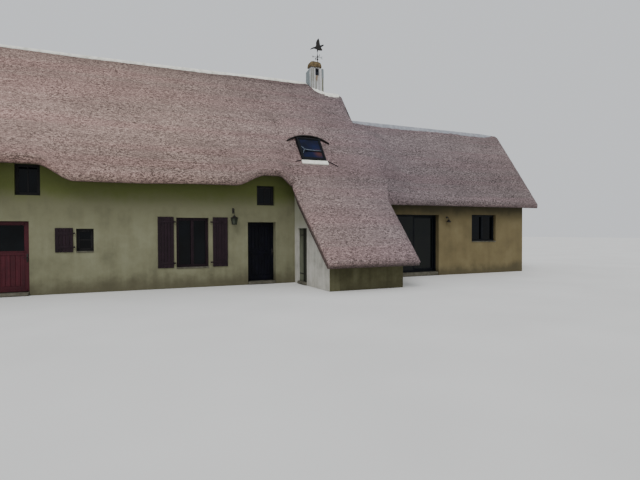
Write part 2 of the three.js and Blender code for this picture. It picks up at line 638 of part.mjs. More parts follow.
// The lean-to's door hangs on the side next to the house and shuts against a dark post.
function buildSideDoor() {
  const { a, b, head, recess, leaf, post } = SIDE_DOOR;
  const x = LEAN_TO.left + recess;
  const boards = box(x, x + leaf, a + post + CLEAR, b - CLEAR, FLOOR + CLEAR, head - CLEAR);
  add('side_door_leaf', join(boards, pivotPin(x + leaf, b - CLEAR - PIVOT.inset)), LOOK.oldBoards());
  add('side_door_post', box(x, x + 120, a + GAP, a + post, FLOOR + GAP, head - GAP), LOOK.darkFrame());
  const step = box(LEAN_TO.left - 60, LEAN_TO.left + LEAN_TO.wall, a + GAP, b - GAP, 0, FLOOR);
  add('side_door_step', step, LOOK.stone());
}

function buildGardenDoor() {
  const { a, b, step, head, recess, depth, rim } = GARDEN_DOOR;
  const y0 = WING.front + recess;
  const middle = (a + b) / 2;
  const low = step + rim;
  const high = head - rim;
  const outer = box(a + GAP, b - 2 * GAP, y0, y0 + depth, step + GAP, head - GAP);
  const opening = box(a + rim, b - rim, y0 - 10, y0 + depth + 10, low, high);
  const mullion = box(middle - 40, middle + 20, y0 + 12, y0 + 57, low - 10, high + 10);
  add('garden_door_frame', join(cut(outer, opening), mullion), LOOK.darkFrame());
  const fixed = box(a + rim + GAP, middle - 40 - GAP, y0 + 25, y0 + 43, low + GAP, high - GAP);
  add('garden_door_fixed_glass', fixed, LOOK.glass());
  add('garden_door_step', box(a, b - 2 * GAP, WING.front - 30, WING.front + WING.wall, 0, step), LOOK.stone());
  const x0 = middle - 50;
  const x1 = b - rim - 7;
  const z0 = low + CLEAR;
  const z1 = high - CLEAR;
  const y = y0 + 67;
  const pane = { a: x0 + 70, b: x1 - 70, sill: z0 + 80, head: z1 - 70 };
  const rails = cut(box(x0, x1, y, y + 45, z0, z1), hole(pane, y - 10, y + 60));
  const runner = box(x0 + 60, x1 - 60, y + 15, y + 30, low + GAP, z0 + 10);
  add('garden_door_leaf', join(rails, runner), LOOK.darkFrame());
  const glass = box(pane.a + GAP, pane.b - GAP, y + 14, y + 32, pane.sill + GAP, pane.head - GAP);
  add('garden_door_leaf_glass', glass, LOOK.glass());
}

// Windows

function frameRing(w, y0, y1, rim, bars) {
  const ring = cut(box(w.a + GAP, w.b - GAP, y0, y1, w.sill + GAP, w.head - GAP),
    box(w.a + rim, w.b - rim, y0 - 10, y1 + 10, w.sill + rim, w.head - rim));
  const uprights = bars.map((x) => box(x - 35, x + 35, y0, y1, w.sill + rim - 10, w.head - rim + 10));
  return uprights.length ? join(ring, ...uprights) : ring;
}

function casement(name, w, y0) {
  const ring = frameRing(w, y0, y0 + 60, 55, []);
  const pane = box(w.a + 50, w.b - 50, y0 + 24, y0 + 36, w.sill + 50, w.head - 50);
  add(name, join(ring, pane), LOOK.brownFrame());
}

function framedWindow(name, w, y0, material) {
  add(name + '_frame', frameRing(w, y0, y0 + 60, 60, [(w.a + w.b) / 2]), material);
  const glass = box(w.a + GAP, w.b - GAP, y0 + 60 + GAP, y0 + 72, w.sill + GAP, w.head - GAP);
  add(name + '_glass', glass, LOOK.glass());
}

function buildWindows() {
  const y = HOUSE.front + WINDOW_RECESS;
  casement('loft_window', LOFT_WINDOW, y);
  casement('pantry_window', PANTRY_WINDOW, y);
  casement('over_door_window', OVER_DOOR_WINDOW, y);
  framedWindow('french_window', FRENCH_WINDOW, y, LOOK.plum());
  framedWindow('wing_window', WING_WINDOW, WING.front + WINDOW_RECESS, LOOK.darkFrame());
  const inside = HOUSE.rear - HOUSE.wall;
  add('rear_glass', box(-5150, 4450, inside - 16, inside - GAP, 1000, 2380), LOOK.glass());
  const w = WING_REAR_WINDOW;
  const y0 = WING.rear - WINDOW_RECESS - 20;
  add('wing_rear_glass', box(w.a + GAP, w.b - GAP, y0, y0 + 16, w.sill + GAP, w.head - GAP), LOOK.glass());
}

// Shutters stand open against the wall. Each turns on two eyes that rest on iron pintles in the wall.
function eyeHeights(s) {
  return [s.low + 120, s.high - 180];
}

function pintles() {
  const y = HOUSE.front - SHUTTER.hingeOut;
  return Object.values(SHUTTERS).flatMap((s) => eyeHeights(s).map((z) =>
    box(s.hinge - 12, s.hinge + 12, y - 12, HOUSE.front + 20, z - 30, z - GAP)));
}

function buildShutters() {
  const y = HOUSE.front - SHUTTER.hingeOut;
  const y1 = HOUSE.front - SHUTTER.stand;
  const y0 = y1 - SHUTTER.thick;
  for (const [name, s] of Object.entries(SHUTTERS)) {
    const [from, to] = [s.hinge + s.near, s.hinge + s.far].sort((a, b) => a - b);
    const [strapFrom, strapTo] = [s.hinge, s.hinge + s.near * 1.4].sort((a, b) => a - b);
    const irons = eyeHeights(s).flatMap((z) =>
      [rod(12, [s.hinge, y, z], [s.hinge, y, z + 50]), box(strapFrom, strapTo, y0, y0 + 6, z + 5, z + 45)]);
    add(name, join(box(from, to, y0, y1, s.low, s.high), ...irons), LOOK.plum());
  }
}

// Lamps

function buildLantern() {
  const { x, plateZ, armZ, reach, bodyZ, tall } = LANTERN;
  const wallY = HOUSE.front;
  const y = wallY - reach;
  const lidZ = bodyZ + tall / 2 + 40;
  const plate = box(x - 40, x + 40, wallY - 20, wallY - GAP, plateZ - 90, plateZ + 90);
  const arm = rod(10, [x, wallY - 10, armZ], [x, y - 10, armZ]);
  const stem = rod(7, [x, y, armZ + 5], [x, y, lidZ + 20]);
  const body = new THREE.CylinderGeometry(105, 70, tall, 6).rotateX(Math.PI / 2).translate(x, y, bodyZ);
  const lid = new THREE.CylinderGeometry(20, 135, 90, 6).rotateX(Math.PI / 2).translate(x, y, lidZ);
  add('wall_lantern', join(plate, arm, stem, body, lid), LOOK.iron());
}

function buildWingLamp() {
  const { x, plateZ, shadeZ, reach } = WING_LAMP;
  const y = WING.front - reach;
  const plate = box(x - 40, x + 40, WING.front - 20, WING.front - GAP, plateZ - 60, plateZ + 60);
  const arm = rod(9, [x, WING.front - 10, plateZ], [x, y, plateZ - 40]);
  const stem = rod(9, [x, y, plateZ - 30], [x, y, shadeZ]);
  const shade = new THREE.CylinderGeometry(35, 110, 110, 12).rotateX(Math.PI / 2).translate(x, y, shadeZ);
  add('wing_lamp', join(plate, arm, stem, shade), LOOK.iron());
}

buildThatch();
buildRidgeCaps();
buildRoofLight();
buildChimney();
buildVane();
buildHouseWalls();
buildWingWalls();
buildLeanTo();
buildLeftDoor();
buildEntrance();
buildSideDoor();
buildGardenDoor();
buildWindows();
buildShutters();
buildLantern();
buildWingLamp();

export default cottage;
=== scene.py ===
import bpy
import json
import math
from functools import partial
import numpy as np
from mathutils import Matrix, Vector


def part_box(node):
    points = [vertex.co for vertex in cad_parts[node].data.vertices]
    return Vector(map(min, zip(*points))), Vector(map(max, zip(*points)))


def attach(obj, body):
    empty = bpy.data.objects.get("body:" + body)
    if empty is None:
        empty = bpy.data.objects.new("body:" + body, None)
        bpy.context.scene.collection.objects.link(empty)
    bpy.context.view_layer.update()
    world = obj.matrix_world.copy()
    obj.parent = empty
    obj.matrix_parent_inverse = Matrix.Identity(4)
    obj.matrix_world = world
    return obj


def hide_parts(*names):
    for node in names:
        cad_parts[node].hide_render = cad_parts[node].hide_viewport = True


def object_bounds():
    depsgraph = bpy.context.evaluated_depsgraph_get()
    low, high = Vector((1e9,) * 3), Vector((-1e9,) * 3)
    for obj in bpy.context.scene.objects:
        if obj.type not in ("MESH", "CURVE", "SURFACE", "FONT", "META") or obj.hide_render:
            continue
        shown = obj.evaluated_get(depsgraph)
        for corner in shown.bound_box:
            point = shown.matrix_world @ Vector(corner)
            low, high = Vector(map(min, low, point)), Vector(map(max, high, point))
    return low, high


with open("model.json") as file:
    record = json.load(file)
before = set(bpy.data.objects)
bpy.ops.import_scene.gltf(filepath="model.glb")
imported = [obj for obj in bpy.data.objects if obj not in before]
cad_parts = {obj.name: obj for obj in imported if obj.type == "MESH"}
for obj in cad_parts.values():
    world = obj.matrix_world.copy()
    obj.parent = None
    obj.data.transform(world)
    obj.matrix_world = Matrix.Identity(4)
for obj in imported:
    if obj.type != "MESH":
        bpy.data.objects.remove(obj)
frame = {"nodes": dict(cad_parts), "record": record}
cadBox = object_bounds()
cadLow, cadHigh = np.array(cadBox[0]), np.array(cadBox[1])

# The view of the garden front: where the eye stands, and how it is turned
viewFrom = {
    "eye": (-2.001, -18.675, 1.76),
    "heading": 24.0,      # degrees from square to the front towards the wing
    "dip": 0.975,         # degrees below level
    "roll": -0.2,
    "focalPixels": 470.0,
    "widePixels": 640.0,
}


def placeCamera(v):
    # forward is the heading turned down by the dip; right and up are then turned by the roll
    turn, dip, roll = (math.radians(v[k]) for k in ("heading", "dip", "roll"))
    level = Vector((math.sin(turn), math.cos(turn), 0))
    right = Vector((math.cos(turn), -math.sin(turn), 0))
    forward = level * math.cos(dip) - Vector((0, 0, 1)) * math.sin(dip)
    up = Vector((0, 0, 1)) * math.cos(dip) + level * math.sin(dip)
    side = right * math.cos(roll) + up * math.sin(roll)
    top = up * math.cos(roll) - right * math.sin(roll)
    data = bpy.data.cameras.new("gardenView")
    data.sensor_width = 36
    data.lens = 36 * v["focalPixels"] / v["widePixels"]
    data.clip_start, data.clip_end = 0.1, 500
    cam = bpy.data.objects.new("gardenView", data)
    turnMatrix = Matrix((side, top, -forward)).transposed().to_4x4()
    cam.matrix_world = Matrix.Translation(Vector(v["eye"])) @ turnMatrix
    bpy.context.scene.collection.objects.link(cam)
    bpy.context.scene.camera = cam


placeCamera(viewFrom)
print("camera placed")

# Meshes


def makePiece(name, points, faces, slotName, body="cottage", finish=None, replaces=None, smooth=True,
              **faceValues):
    # points is an (n, 3) array and faces a list of corner numbers; nothing may pass the outer box of the
    # solids. The finish is the slot's own unless one is named; "replaces" names the solid it stands for
    points = np.clip(np.asarray(points, float).reshape(-1, 3), cadLow, cadHigh)
    mesh = bpy.data.meshes.new(name)
    mesh.from_pydata(points, [], faces)
    mesh.polygons.foreach_set("use_smooth", np.full(len(mesh.polygons), smooth))
    for key, values in faceValues.items():
        mesh.attributes.new(key, "FLOAT", "FACE").data.foreach_set("value", np.asarray(values, np.float32))
    mesh.materials.append(finishes[finish or slotName])
    piece = bpy.data.objects.new(name, mesh)
    bpy.context.scene.collection.objects.link(piece)
    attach(piece, body)
    if replaces:
        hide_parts(replaces)


def ringFaces(sections, count, capped=True):
    # quads between closed loops that follow one another, each loop anticlockwise seen from the far end
    a = (np.arange(sections - 1)[:, None] * count + np.arange(count)[None, :]).ravel()
    b = (np.arange(sections - 1)[:, None] * count + (np.arange(count) + 1)[None, :] % count).ravel()
    faces = np.stack([a, b, b + count, a + count], 1).tolist()
    if capped:
        faces.append(list(range(count))[::-1])
        faces.append([(sections - 1) * count + k for k in range(count)])
    return faces


def ringed(loops, capped=True):
    # points and faces of a stack of loops
    return loops.reshape(-1, 3), ringFaces(*loops.shape[:2], capped)


def softNoise(a, b, seed):
    # random heights from -1 to 1 on the whole numbers, joined both ways by the curve 3t^2 - 2t^3
    table = np.random.RandomState(seed).uniform(-1, 1, (256, 256))
    ia, ib = np.floor(a).astype(int), np.floor(b).astype(int)
    ta, tb = a - ia, b - ib
    ta, tb = ta * ta * (3 - 2 * ta), tb * tb * (3 - 2 * tb)
    near = table[ia % 256, ib % 256] * (1 - ta) + table[(ia + 1) % 256, ib % 256] * ta
    far = table[ia % 256, (ib + 1) % 256] * (1 - ta) + table[(ia + 1) % 256, (ib + 1) % 256] * ta
    return near * (1 - tb) + far * tb


def smoothStep(v, low, high):
    t = np.clip((v - low) / (high - low), 0, 1)
    return t * t * (3 - 2 * t)


# Materials


def linearColour(hexText, gain=1.0):
    # an sRGB channel c becomes c/12.92 up to 0.04045 and ((c + 0.055)/1.055)^2.4 above it
    c = np.array([int(hexText[i:i + 2], 16) for i in (1, 3, 5)]) / 255
    c = np.where(c <= 0.04045, c / 12.92, ((c + 0.055) / 1.055) ** 2.4) * gain
    return (float(c[0]), float(c[1]), float(c[2]), 1.0)


def addNode(tree, kind, inputs=None, stops=None, **settings):
    # one node: settings are its own fields; an input is a plain value, a colour as hex text, a socket, or
    # another node, which stands for its first output
    node = tree.nodes.new("ShaderNode" + kind)
    for key, value in settings.items():
        setattr(node, key, value)
    for key, value in (inputs or {}).items():
        if isinstance(value, bpy.types.Node):
            value = value.outputs[0]
        if isinstance(value, bpy.types.NodeSocket):
            tree.links.new(value, node.inputs[key])
        else:
            node.inputs[key].default_value = linearColour(value) if isinstance(value, str) else value
    if stops:
        elements = node.color_ramp.elements
        for element, (place, hexText) in ((elements[0], stops[0]), (elements[1], stops[-1])):
            element.position, element.color = place, linearColour(hexText)
        for place, hexText in stops[1:-1]:
            elements.new(place).color = linearColour(hexText)
    return node


def startMaterial(name):
    made = bpy.data.materials.new(name)
    made.use_nodes = True
    made.node_tree.nodes.clear()
    add = partial(addNode, made.node_tree)
    return made, add, add("TexCoord").outputs["Object"]


def finishMaterial(add, colour, height, v):
    # the relief is a bump of the given depth in metres, under one shader
    bump = add("Bump", {"Strength": v.get("bump", 0.6), "Distance": v["relief"], "Height": height})
    shader = add("BsdfPrincipled", {
        "Base Color": colour, "Normal": bump, "Roughness": v["roughness"],
        "Metallic": v.get("metallic", 0.0), "Specular IOR Level": v.get("specular", 0.5)})
    add("OutputMaterial", {"Surface": shader})


# Water reed, combed and cut by hand: matt stems in short dashes across the slope, with darker cut ends and
# painted shade on the underside under the lip
thatchLook = {
    # cut is the colour of the cut ends, also laid on the underside as painted shade under the lip
    "dark": "#675a56", "middle": "#a6938e", "light": "#dcc5bd", "cut": "#322a25",
    # it runs from warm and light at the left end to grey and darker at the right end, which lie at these x
    "tints": [(0.0, "#fff4f2"), (0.33, "#ebe6e4"), (0.54, "#d3d1d8"), (0.67, "#bec2d0"), (1.0, "#bcc0c9")],
    "tintFrom": -7.5, "tintTo": 15.0,
    # and how dark it is with height: (metres, grey); the last two stops are painted shadow under the ridge
    # cap
    "heights": [(2.0, "#f4f4f4"), (3.1, "#f4f4f4"), (3.8, "#dfdfdf"), (4.6, "#efefef"), (5.5, "#fafafa"),
                (7.3, "#e4e4e4"), (7.72, "#e0e0e0"), (7.92, "#c2c2c2")],
    # length and height of a dash, and of the finest mark: a stem is 5 mm thick, too fine to show
    "dash": (0.1, 0.04), "stem": (0.04, 0.02),
    # sizes of a broad patch, a course, a bundle with a hue of its own and a place with calmer marks
    "patch": 1.3, "course": (2.857, 0.17), "bundle": 0.5, "calm": 0.6,
    "hues": ("#fff6f3", "#fbfaf5"), "strength": (0.37, 0.7), "shade": (0.86, 1.12),
    "relief": 0.03, "bump": 0.7, "roughness": 0.92, "specular": 0.2,
}


def thatchMaterial(v):
    made, add, place = startMaterial("water reed thatch")
    across, down = v["dash"]
    dashPlace = add("Mapping", {"Vector": place, "Scale": (1 / across, 1 / down, 1 / down)})
    dash = add("TexNoise", {"Vector": dashPlace, "Scale": 1.0, "Detail": 3.0, "Roughness": 0.6})
    long, thin = v["stem"]
    finePlace = add("Mapping", {"Vector": place, "Scale": (1 / long, 1 / thin, 1 / thin)})
    fine = add("TexNoise", {"Vector": finePlace, "Scale": 1.0, "Detail": 1.0})
    patch = add("TexNoise", {"Vector": place, "Scale": 1 / v["patch"], "Detail": 3.0})
    wide, tall = v["course"]
    coursePlace = add("Mapping", {"Vector": place, "Scale": (1 / wide, 1 / tall, 1 / tall)})
    course = add("TexNoise", {"Vector": coursePlace, "Scale": 1.0, "Detail": 2.0})
    both = add("Math", {0: dash, 1: fine}, operation="ADD")
    # the marks are stronger in some places than in others
    weakest, strongest = v["strength"]
    calm = add("TexNoise", {"Vector": place, "Scale": 1 / v["calm"], "Detail": 1.0})
    strength = add("MapRange", {0: calm, 1: 0.35, 2: 0.65, 3: weakest, 4: strongest})
    apart = add("Math", {0: both, 1: 1.0}, operation="SUBTRACT")
    whole = add("Math", {0: apart, 1: strength, 2: 0.5}, operation="MULTIPLY_ADD")
    stems = add("ValToRGB", {0: whole}, stops=[
        (0.38, v["dark"]), (0.5, v["middle"]), (0.62, v["light"])])
    # broad patches and courses darken or lighten it by up to a seventh
    broad = add("Math", {0: patch, 1: course}, operation="ADD")
    darkest, lightest = v["shade"]
    broadShade = add("MapRange", {0: broad, 1: 0.75, 2: 1.25, 3: darkest, 4: lightest})
    shaded = add("VectorMath", {0: stems, "Scale": broadShade}, operation="SCALE")
    # and some bundles are pinker than others
    bundle = add("TexNoise", {"Vector": coursePlace, "Scale": tall / v["bundle"], "Detail": 2.0})
    hue = add("ValToRGB", {0: bundle}, stops=[
        (0.42, v["hues"][0]), (0.58, v["hues"][1])])
    shaded = add("VectorMath", {0: shaded, 1: hue}, operation="MULTIPLY")
    parts = add("SeparateXYZ", {0: place})
    right = add("MapRange", {0: parts, 1: v["tintFrom"], 2: v["tintTo"], 3: 0.0, 4: 1.0})
    tint = add("ValToRGB", {0: right}, stops=v["tints"])
    tinted = add("VectorMath", {0: shaded, 1: tint}, operation="MULTIPLY")
    # darker with height by the greys listed; just under the ridge cap this is painted shadow
    lowest, highest = v["heights"][0][0], v["heights"][-1][0]
    upward = add("MapRange", {0: parts.outputs[2], 1: lowest, 2: highest, 3: 0.0, 4: 1.0})
    grey = add("ValToRGB", {0: upward}, stops=[
        ((z - lowest) / (highest - lowest), c) for z, c in v["heights"]])
    drift = add("VectorMath", {0: tinted, 1: grey}, operation="MULTIPLY")
    # the cut ends' colour, which on the underside under the lip is painted shade
    cutEnd = add("Attribute", attribute_name="cutEnd")
    ends = add("Mix", {0: cutEnd.outputs["Fac"], 6: drift, 7: v["cut"]}, data_type="RGBA")
    finishMaterial(add, ends.outputs[2], whole, v)
    return made


# A coat laid on by hand: blotches, streaks that rain has drawn down it, a stained foot, and bands of painted
# shade under the eaves and verges, greenish on the house. Each gives a finish for the table of coats below.
def coatMaterial(name, v):
    made, add, place = startMaterial(name)
    blotch = add("TexNoise", {"Vector": place, "Scale": 1 / v["blotch"], "Detail": 4.0, "Roughness": 0.6})
    streakPlace = add("Mapping", {"Vector": place, "Scale": (1 / v["streak"], 1 / v["streak"], 0.35)})
    streak = add("TexNoise", {"Vector": streakPlace, "Scale": 1.0, "Detail": 3.0})
    both = add("Mix", {0: v["streaky"], 2: blotch, 3: streak}, data_type="FLOAT")
    spread = v.get("spread", 0.2)
    colour = add("ValToRGB", {0: both}, stops=[
        (0.5 - spread, v["dark"]), (0.5, v["middle"]), (0.5 + spread, v["light"])])
    parts = add("SeparateXYZ", {0: place})
    last = colour
    for low, high, hexText, most in v.get("bands", ()):
        # a band that grows from the height "low" to "high", its edge made uneven by the blotches: a stain at
        # the foot, painted shade under eaves and verges
        shift = add("Math", {0: both, 1: 0.9, 2: -0.45}, operation="MULTIPLY_ADD")
        level = add("Math", {0: parts.outputs[2], 1: shift}, operation="ADD")
        share = add("MapRange", {0: level, 1: low, 2: high, 3: 0.0, 4: most}, interpolation_type="SMOOTHSTEP")
        if v.get("ends") and low < high:
            # the band stays off the end faces of the wall
            a, b = v["ends"]
            first = add("MapRange", {0: parts, 1: a + 0.001, 2: a + 0.003, 3: 0.0, 4: 1.0})
            second = add("MapRange", {0: parts, 1: b - 0.003, 2: b - 0.001, 3: 1.0, 4: 0.0})
            between = add("Math", {0: first, 1: second}, operation="MULTIPLY")
            share = add("Math", {0: share, 1: between}, operation="MULTIPLY")
        last = add("Mix", {0: share, 6: last, 7: hexText}, data_type="RGBA").outputs[2]
    if "beyond" in v:
        # past a plane square to Y the wall takes other colours: here painted shade on the lean-to's front end
        # face
        y, paintedShadeColours = v["beyond"]
        past = add("MapRange", {0: parts.outputs[1], 1: y, 2: y - 0.002, 3: 0.0, 4: 1.0})
        other = add("ValToRGB", {0: both}, stops=[
            (0.3, paintedShadeColours[0]), (0.5, paintedShadeColours[1]), (0.7, paintedShadeColours[2])])
        last = add("Mix", {0: past, 6: last, 7: other}, data_type="RGBA").outputs[2]
    for key, hexText in v.get("marks", {}).items():
        # a mark's share, from 0 to 1, is written on the faces themselves
        mark = add("Attribute", attribute_name=key)
        last = add("Mix", {0: mark.outputs["Fac"], 6: last, 7: hexText}, data_type="RGBA").outputs[2]
    # each board, stone or bar may carry a tone of its own from -1 to 1
    tone = add("Attribute", attribute_name="tone")
    toned = add("Math", {0: tone.outputs["Fac"], 1: toneShare, 2: 1.0}, operation="MULTIPLY_ADD")
    last = add("VectorMath", {0: last, "Scale": toned}, operation="SCALE")
    grain = add("TexNoise", {"Vector": place, "Scale": 1 / v["grain"], "Detail": 2.0})
    trowel = add("TexNoise", {"Vector": place, "Scale": 1 / v["trowel"], "Detail": 1.0})
    height = add("Math", {0: trowel, 1: v["trowelShare"], 2: grain}, operation="MULTIPLY_ADD")
    finishMaterial(add, last, height, v)
    return made


toneShare = 0.15      # how much lighter or darker a board, stone or bar may be than its neighbours

# Columns of the table: three colours from dark to light, widths of a blotch and of a streak, share of the
# streaks, widths of a grain and of a trowel mark, share of the trowel marks, depth of the relief, roughness
# and specular level
coatColumns = ("dark", "middle", "light", "blotch", "streak", "streaky", "grain", "trowel", "trowelShare",
               "relief", "roughness", "specular")
coatRows = {
    # matt lime render on rubble; sand grains of 2 mm are drawn 12 mm wide so that they show
    "house_render": ("#656450", "#78775f", "#84846c", 0.7, 0.22, 0.3, 0.012, 0.35, 5.0, 0.006, 0.93, 0.2),
    "wing_render": ("#635940", "#716649", "#7c7153", 0.8, 0.25, 0.25, 0.012, 0.4, 5.0, 0.006, 0.93, 0.2),
    # the same olive lime render, darker and browner: painted shade under the lowest eave
    "lean_to_shaded_render": ("#3c3a28", "#525039", "#605f47", 0.5, 0.22, 0.4, 0.012, 0.35, 5.0, 0.006, 0.93, 0.2),
    # brushed whitewash with grey rain streaks
    "white_render": ("#8e8c84", "#b4b1a8", "#c8c5bd", 0.5, 0.12, 0.35, 0.012, 0.25, 6.0, 0.006, 0.9, 0.25),
    # whitewash on brick, with upright grey-green rain streaks, soot and painted shade in the vent and one
    # rusty run below it
    "chimney_render": ("#686a57", "#acabaa", "#d2d0d0", 0.2, 0.045, 0.85, 0.01, 0.16, 5.0, 0.005, 0.9, 0.25),
    # pale lime mortar, pressed on by hand, with grey lichen; the wing's ridge has older mortar, gone grey
    "mortar": ("#c6c5b8", "#f1efe4", "#fdfbf2", 0.16, 0.3, 0.2, 0.015, 0.12, 3.0, 0.006, 0.92, 0.2),
    "grey_mortar": ("#83858a", "#989aa0", "#acaeb3", 0.16, 0.3, 0.2, 0.015, 0.12, 3.0, 0.006, 0.92, 0.2),
    # worn, half matt stone and tile
    "doorstep_stone": ("#3d3b33", "#585549", "#6e6a5f", 0.18, 0.2, 0.2, 0.008, 0.1, 3.0, 0.004, 0.85, 0.3),
    "floor_tile": ("#555148", "#6f695f", "#817c71", 0.3, 0.4, 0.2, 0.01, 0.3, 2.0, 0.003, 0.8, 0.3),
    # golden lichen and moss over old mortar
    "mossy_cap": ("#3a332a", "#665740", "#847453", 0.1, 0.2, 0.2, 0.02, 0.06, 2.0, 0.02, 0.97, 0.15),
    # brushed oil paint on boards, faded unevenly: small colour drift, faint brush marks down the board
    "plum_paint": ("#140a0f", "#1f1118", "#291821", 0.3, 0.02, 0.5, 0.01, 0.05, 1.0, 0.0015, 0.55, 0.2),
    "maroon_paint": ("#2e0d14", "#41131c", "#501b24", 0.3, 0.02, 0.5, 0.01, 0.05, 1.0, 0.0015, 0.5, 0.25),
    # the entrance's near-black is partly painted shade of a dark doorway
    "dark_blue_paint": ("#040409", "#080911", "#100f1e", 0.3, 0.02, 0.5, 0.01, 0.05, 1.0, 0.0012, 0.45, 0.12),
    # bare wood gone grey, a smooth dark coat on metal, and dark oiled wood
    "old_boards": ("#424539", "#5c5f51", "#737764", 0.4, 0.015, 0.75, 0.006, 0.04, 1.0, 0.003, 0.85, 0.2),
    "dark_frame": ("#05070a", "#0a0d12", "#10141b", 0.3, 0.05, 0.4, 0.006, 0.2, 1.0, 0.0006, 0.5, 0.15),
    "brown_frame": ("#0a0807", "#0f0d0d", "#171313", 0.2, 0.012, 0.6, 0.006, 0.04, 1.0, 0.0015, 0.6, 0.3),
    # forged iron, half matt with rust in patches, and zinc gone dull
    "wrought_iron": ("#0f0e0b", "#191614", "#302217", 0.09, 0.1, 0.3, 0.01, 0.04, 1.0, 0.002, 0.6, 0.4),
    "weathered_zinc": ("#4c5560", "#6f7a86", "#8d98a3", 0.08, 0.05, 0.3, 0.008, 0.05, 1.0, 0.001, 0.5, 0.4),
}
coats = {name: dict(zip(coatColumns, row)) for name, row in coatRows.items()}

# Bands: (height where it starts, height where it is full, colour, largest share); the foot bands are stains,
# the upward ones painted shade
houseFoot, wingFoot = (0.62, 0.05, "#4b4636", 0.7), (0.5, 0.1, "#484333", 0.7)
# the bands that grow upward, under the eaves and verges, are painted shade; the greenish one on the house as
# well
coats["gable_render"] = {**coats["house_render"], "bands": [(4.5, 8.0, "#5b5b41", 0.5), houseFoot]}
coats["wing_gable_render"] = {**coats["wing_render"], "bands": [(3.6, 6.5, "#4a4430", 0.5), wingFoot]}
coats["house_render"].update(ends=(-6.95, 6.95), bands=[
    (1.5, 3.2, "#5b5b41", 0.6), (2.5, 3.15, "#535a2c", 0.85), houseFoot])
coats["wing_render"].update(ends=(6.95, 14.65), bands=[(2.2, 2.75, "#383527", 0.85), wingFoot])
coats["lean_to_shaded_render"].update(bands=[(0.5, 0.05, "#3d3a2a", 0.6)])
# the lean-to's side wall darkens towards the top under the thatch: painted shade
coats["white_render"].update(bands=[(1.5, 2.3, "#7f806b", 0.75)])
# the side wall's front end face takes the lean-to's shaded colours: painted shade
coats["white_render"].update(beyond=(-6.148, coatRows["lean_to_shaded_render"][:3]))
coats["chimney_render"].update(spread=0.13, marks={"damp": "#7f8789", "soot": "#33353c", "rust": "#7a6448"})
# the side door's boards darken towards its head: painted shade under the head
coats["old_boards"].update(bands=[(1.2, 1.9, "#35372d", 0.7)])

# Float glass in front of a dark room: black with a faint blue bloom and a sharp reflection
glassLook = {"dark": "#030405", "light": "#080c10", "roughness": 0.06, "specular": 0.14, "relief": 0.002,
             "bump": 0.15}

# The roof light's glass is painted blue with the sky it reflects, the garden door's dark green with the
# greenery: painted reflections
roofGlassLook = {**glassLook, "dark": "#040920", "light": "#0d1940",
                 "glow": ((4.92, -2.98, 4.55), 0.3, "#5a3420")}      # its middle, reach and colour
lanternGlassLook = {**glassLook, "dark": "#23271f", "light": "#41463a"}
gardenGlassLook = {**glassLook, "dark": "#04070a", "light": "#0b100c", "specular": 0.2}


def glassMaterial(name, v):
    made, add, place = startMaterial(name)
    bloom = add("TexNoise", {"Vector": place, "Scale": 1.7, "Detail": 3.0})
    colour = add("ValToRGB", {0: bloom}, stops=[
        (0.35, v["dark"]), (0.65, v["light"])])
    last = colour
    if "glow" in v:
        # a painted patch of the lit brown inner frame seen through the glass: it fades out with distance from
        # its middle
        middle, reach, hexText = v["glow"]
        away = add("VectorMath", {0: place, 1: middle}, operation="DISTANCE")
        share = add("MapRange", {0: away.outputs["Value"], 1: reach, 2: 0.0, 3: 0.0, 4: 0.9},
                    interpolation_type="SMOOTHSTEP")
        last = add("Mix", {0: share, 6: last, 7: hexText}, data_type="RGBA").outputs[2]
    wave = add("TexNoise", {"Vector": place, "Scale": 2.5, "Detail": 0.0})
    finishMaterial(add, last, wave, v)
    return made


finishes = {name: coatMaterial(name.replace("_", " "), v) for name, v in coats.items()}
finishes["thatch"] = thatchMaterial(thatchLook)
finishes["window_glass"] = glassMaterial("dark window glass", glassLook)
finishes["roof_glass"] = glassMaterial("blue roof glass", roofGlassLook)
finishes["garden_glass"] = glassMaterial("garden door glass", gardenGlassLook)
finishes["lantern_glass"] = glassMaterial("ground lantern glass", lanternGlassLook)
print("materials made")

# Thatch

roofForm = {
    "depth": 0.28,
    "main": {"ridgeY": 0.0, "eaveY": -3.75, "eaveZ": 3.26, "slope": 1.155, "ridgeTop": 7.89,
             "left": -7.35, "right": 7.35, "settles": 0.19, "raised": 0.04, "climbs": 0.15, "full": 0.11,
             "rearIn": 0.7},
    "wing": {"ridgeY": -0.7, "eaveY": -3.75, "eaveZ": 2.76, "slope": 1.133, "ridgeTop": 6.47,
             "left": 6.95, "right": 15.37, "settles": 0.0, "rounds": 0.3, "vergeLean": 0.72},
    "sweep": {"left": 3.65, "right": 7.08, "eaveY": -6.5, "eaveZ": 0.7, "cornerIn": 0.28, "upperIn": 0.26,
              "upperTo": 1.6, "leftBow": 0.095},
    # how far the eave's fringe has sunk, the stride over which the wing's thatch runs up to the main slope,
    # and how far under the crest the underside ends
    "sag": 0.05, "runUp": 1.7, "underCrest": 0.48,
    # the x between which the crest climbs, the fringe stops sagging, and the main slope gets fuller and then
    # falls off again, with the distances from the ridge over which it does so
    "climbOver": (-3.5, 5.0), "sagOver": (-1.5, 0.8), "fullOver": (-1.5, 5.4), "fullEnds": (5.6, 6.3),
    "fullDown": (0.2, 2.6),
    # how thin a verge is at its very end, and over what width it thins
    "vergeThin": 0.45, "vergeWide": 0.26,
    # the crest drops between these x, and thatch is packed up in front of the stack here
    "chimney": (5.5, 6.3),
    "saddle": {"x": 5.68, "y": -0.3, "wide": 0.25, "deep": 0.2, "high": 0.13},
    # each brow's middle, reach to the left and right, level width and rise
    "brows": [(-4.25, 1.35, 1.35, 0.35, 0.43), (2.92, 1.27, 0.79, 0.2, 0.36)],
}
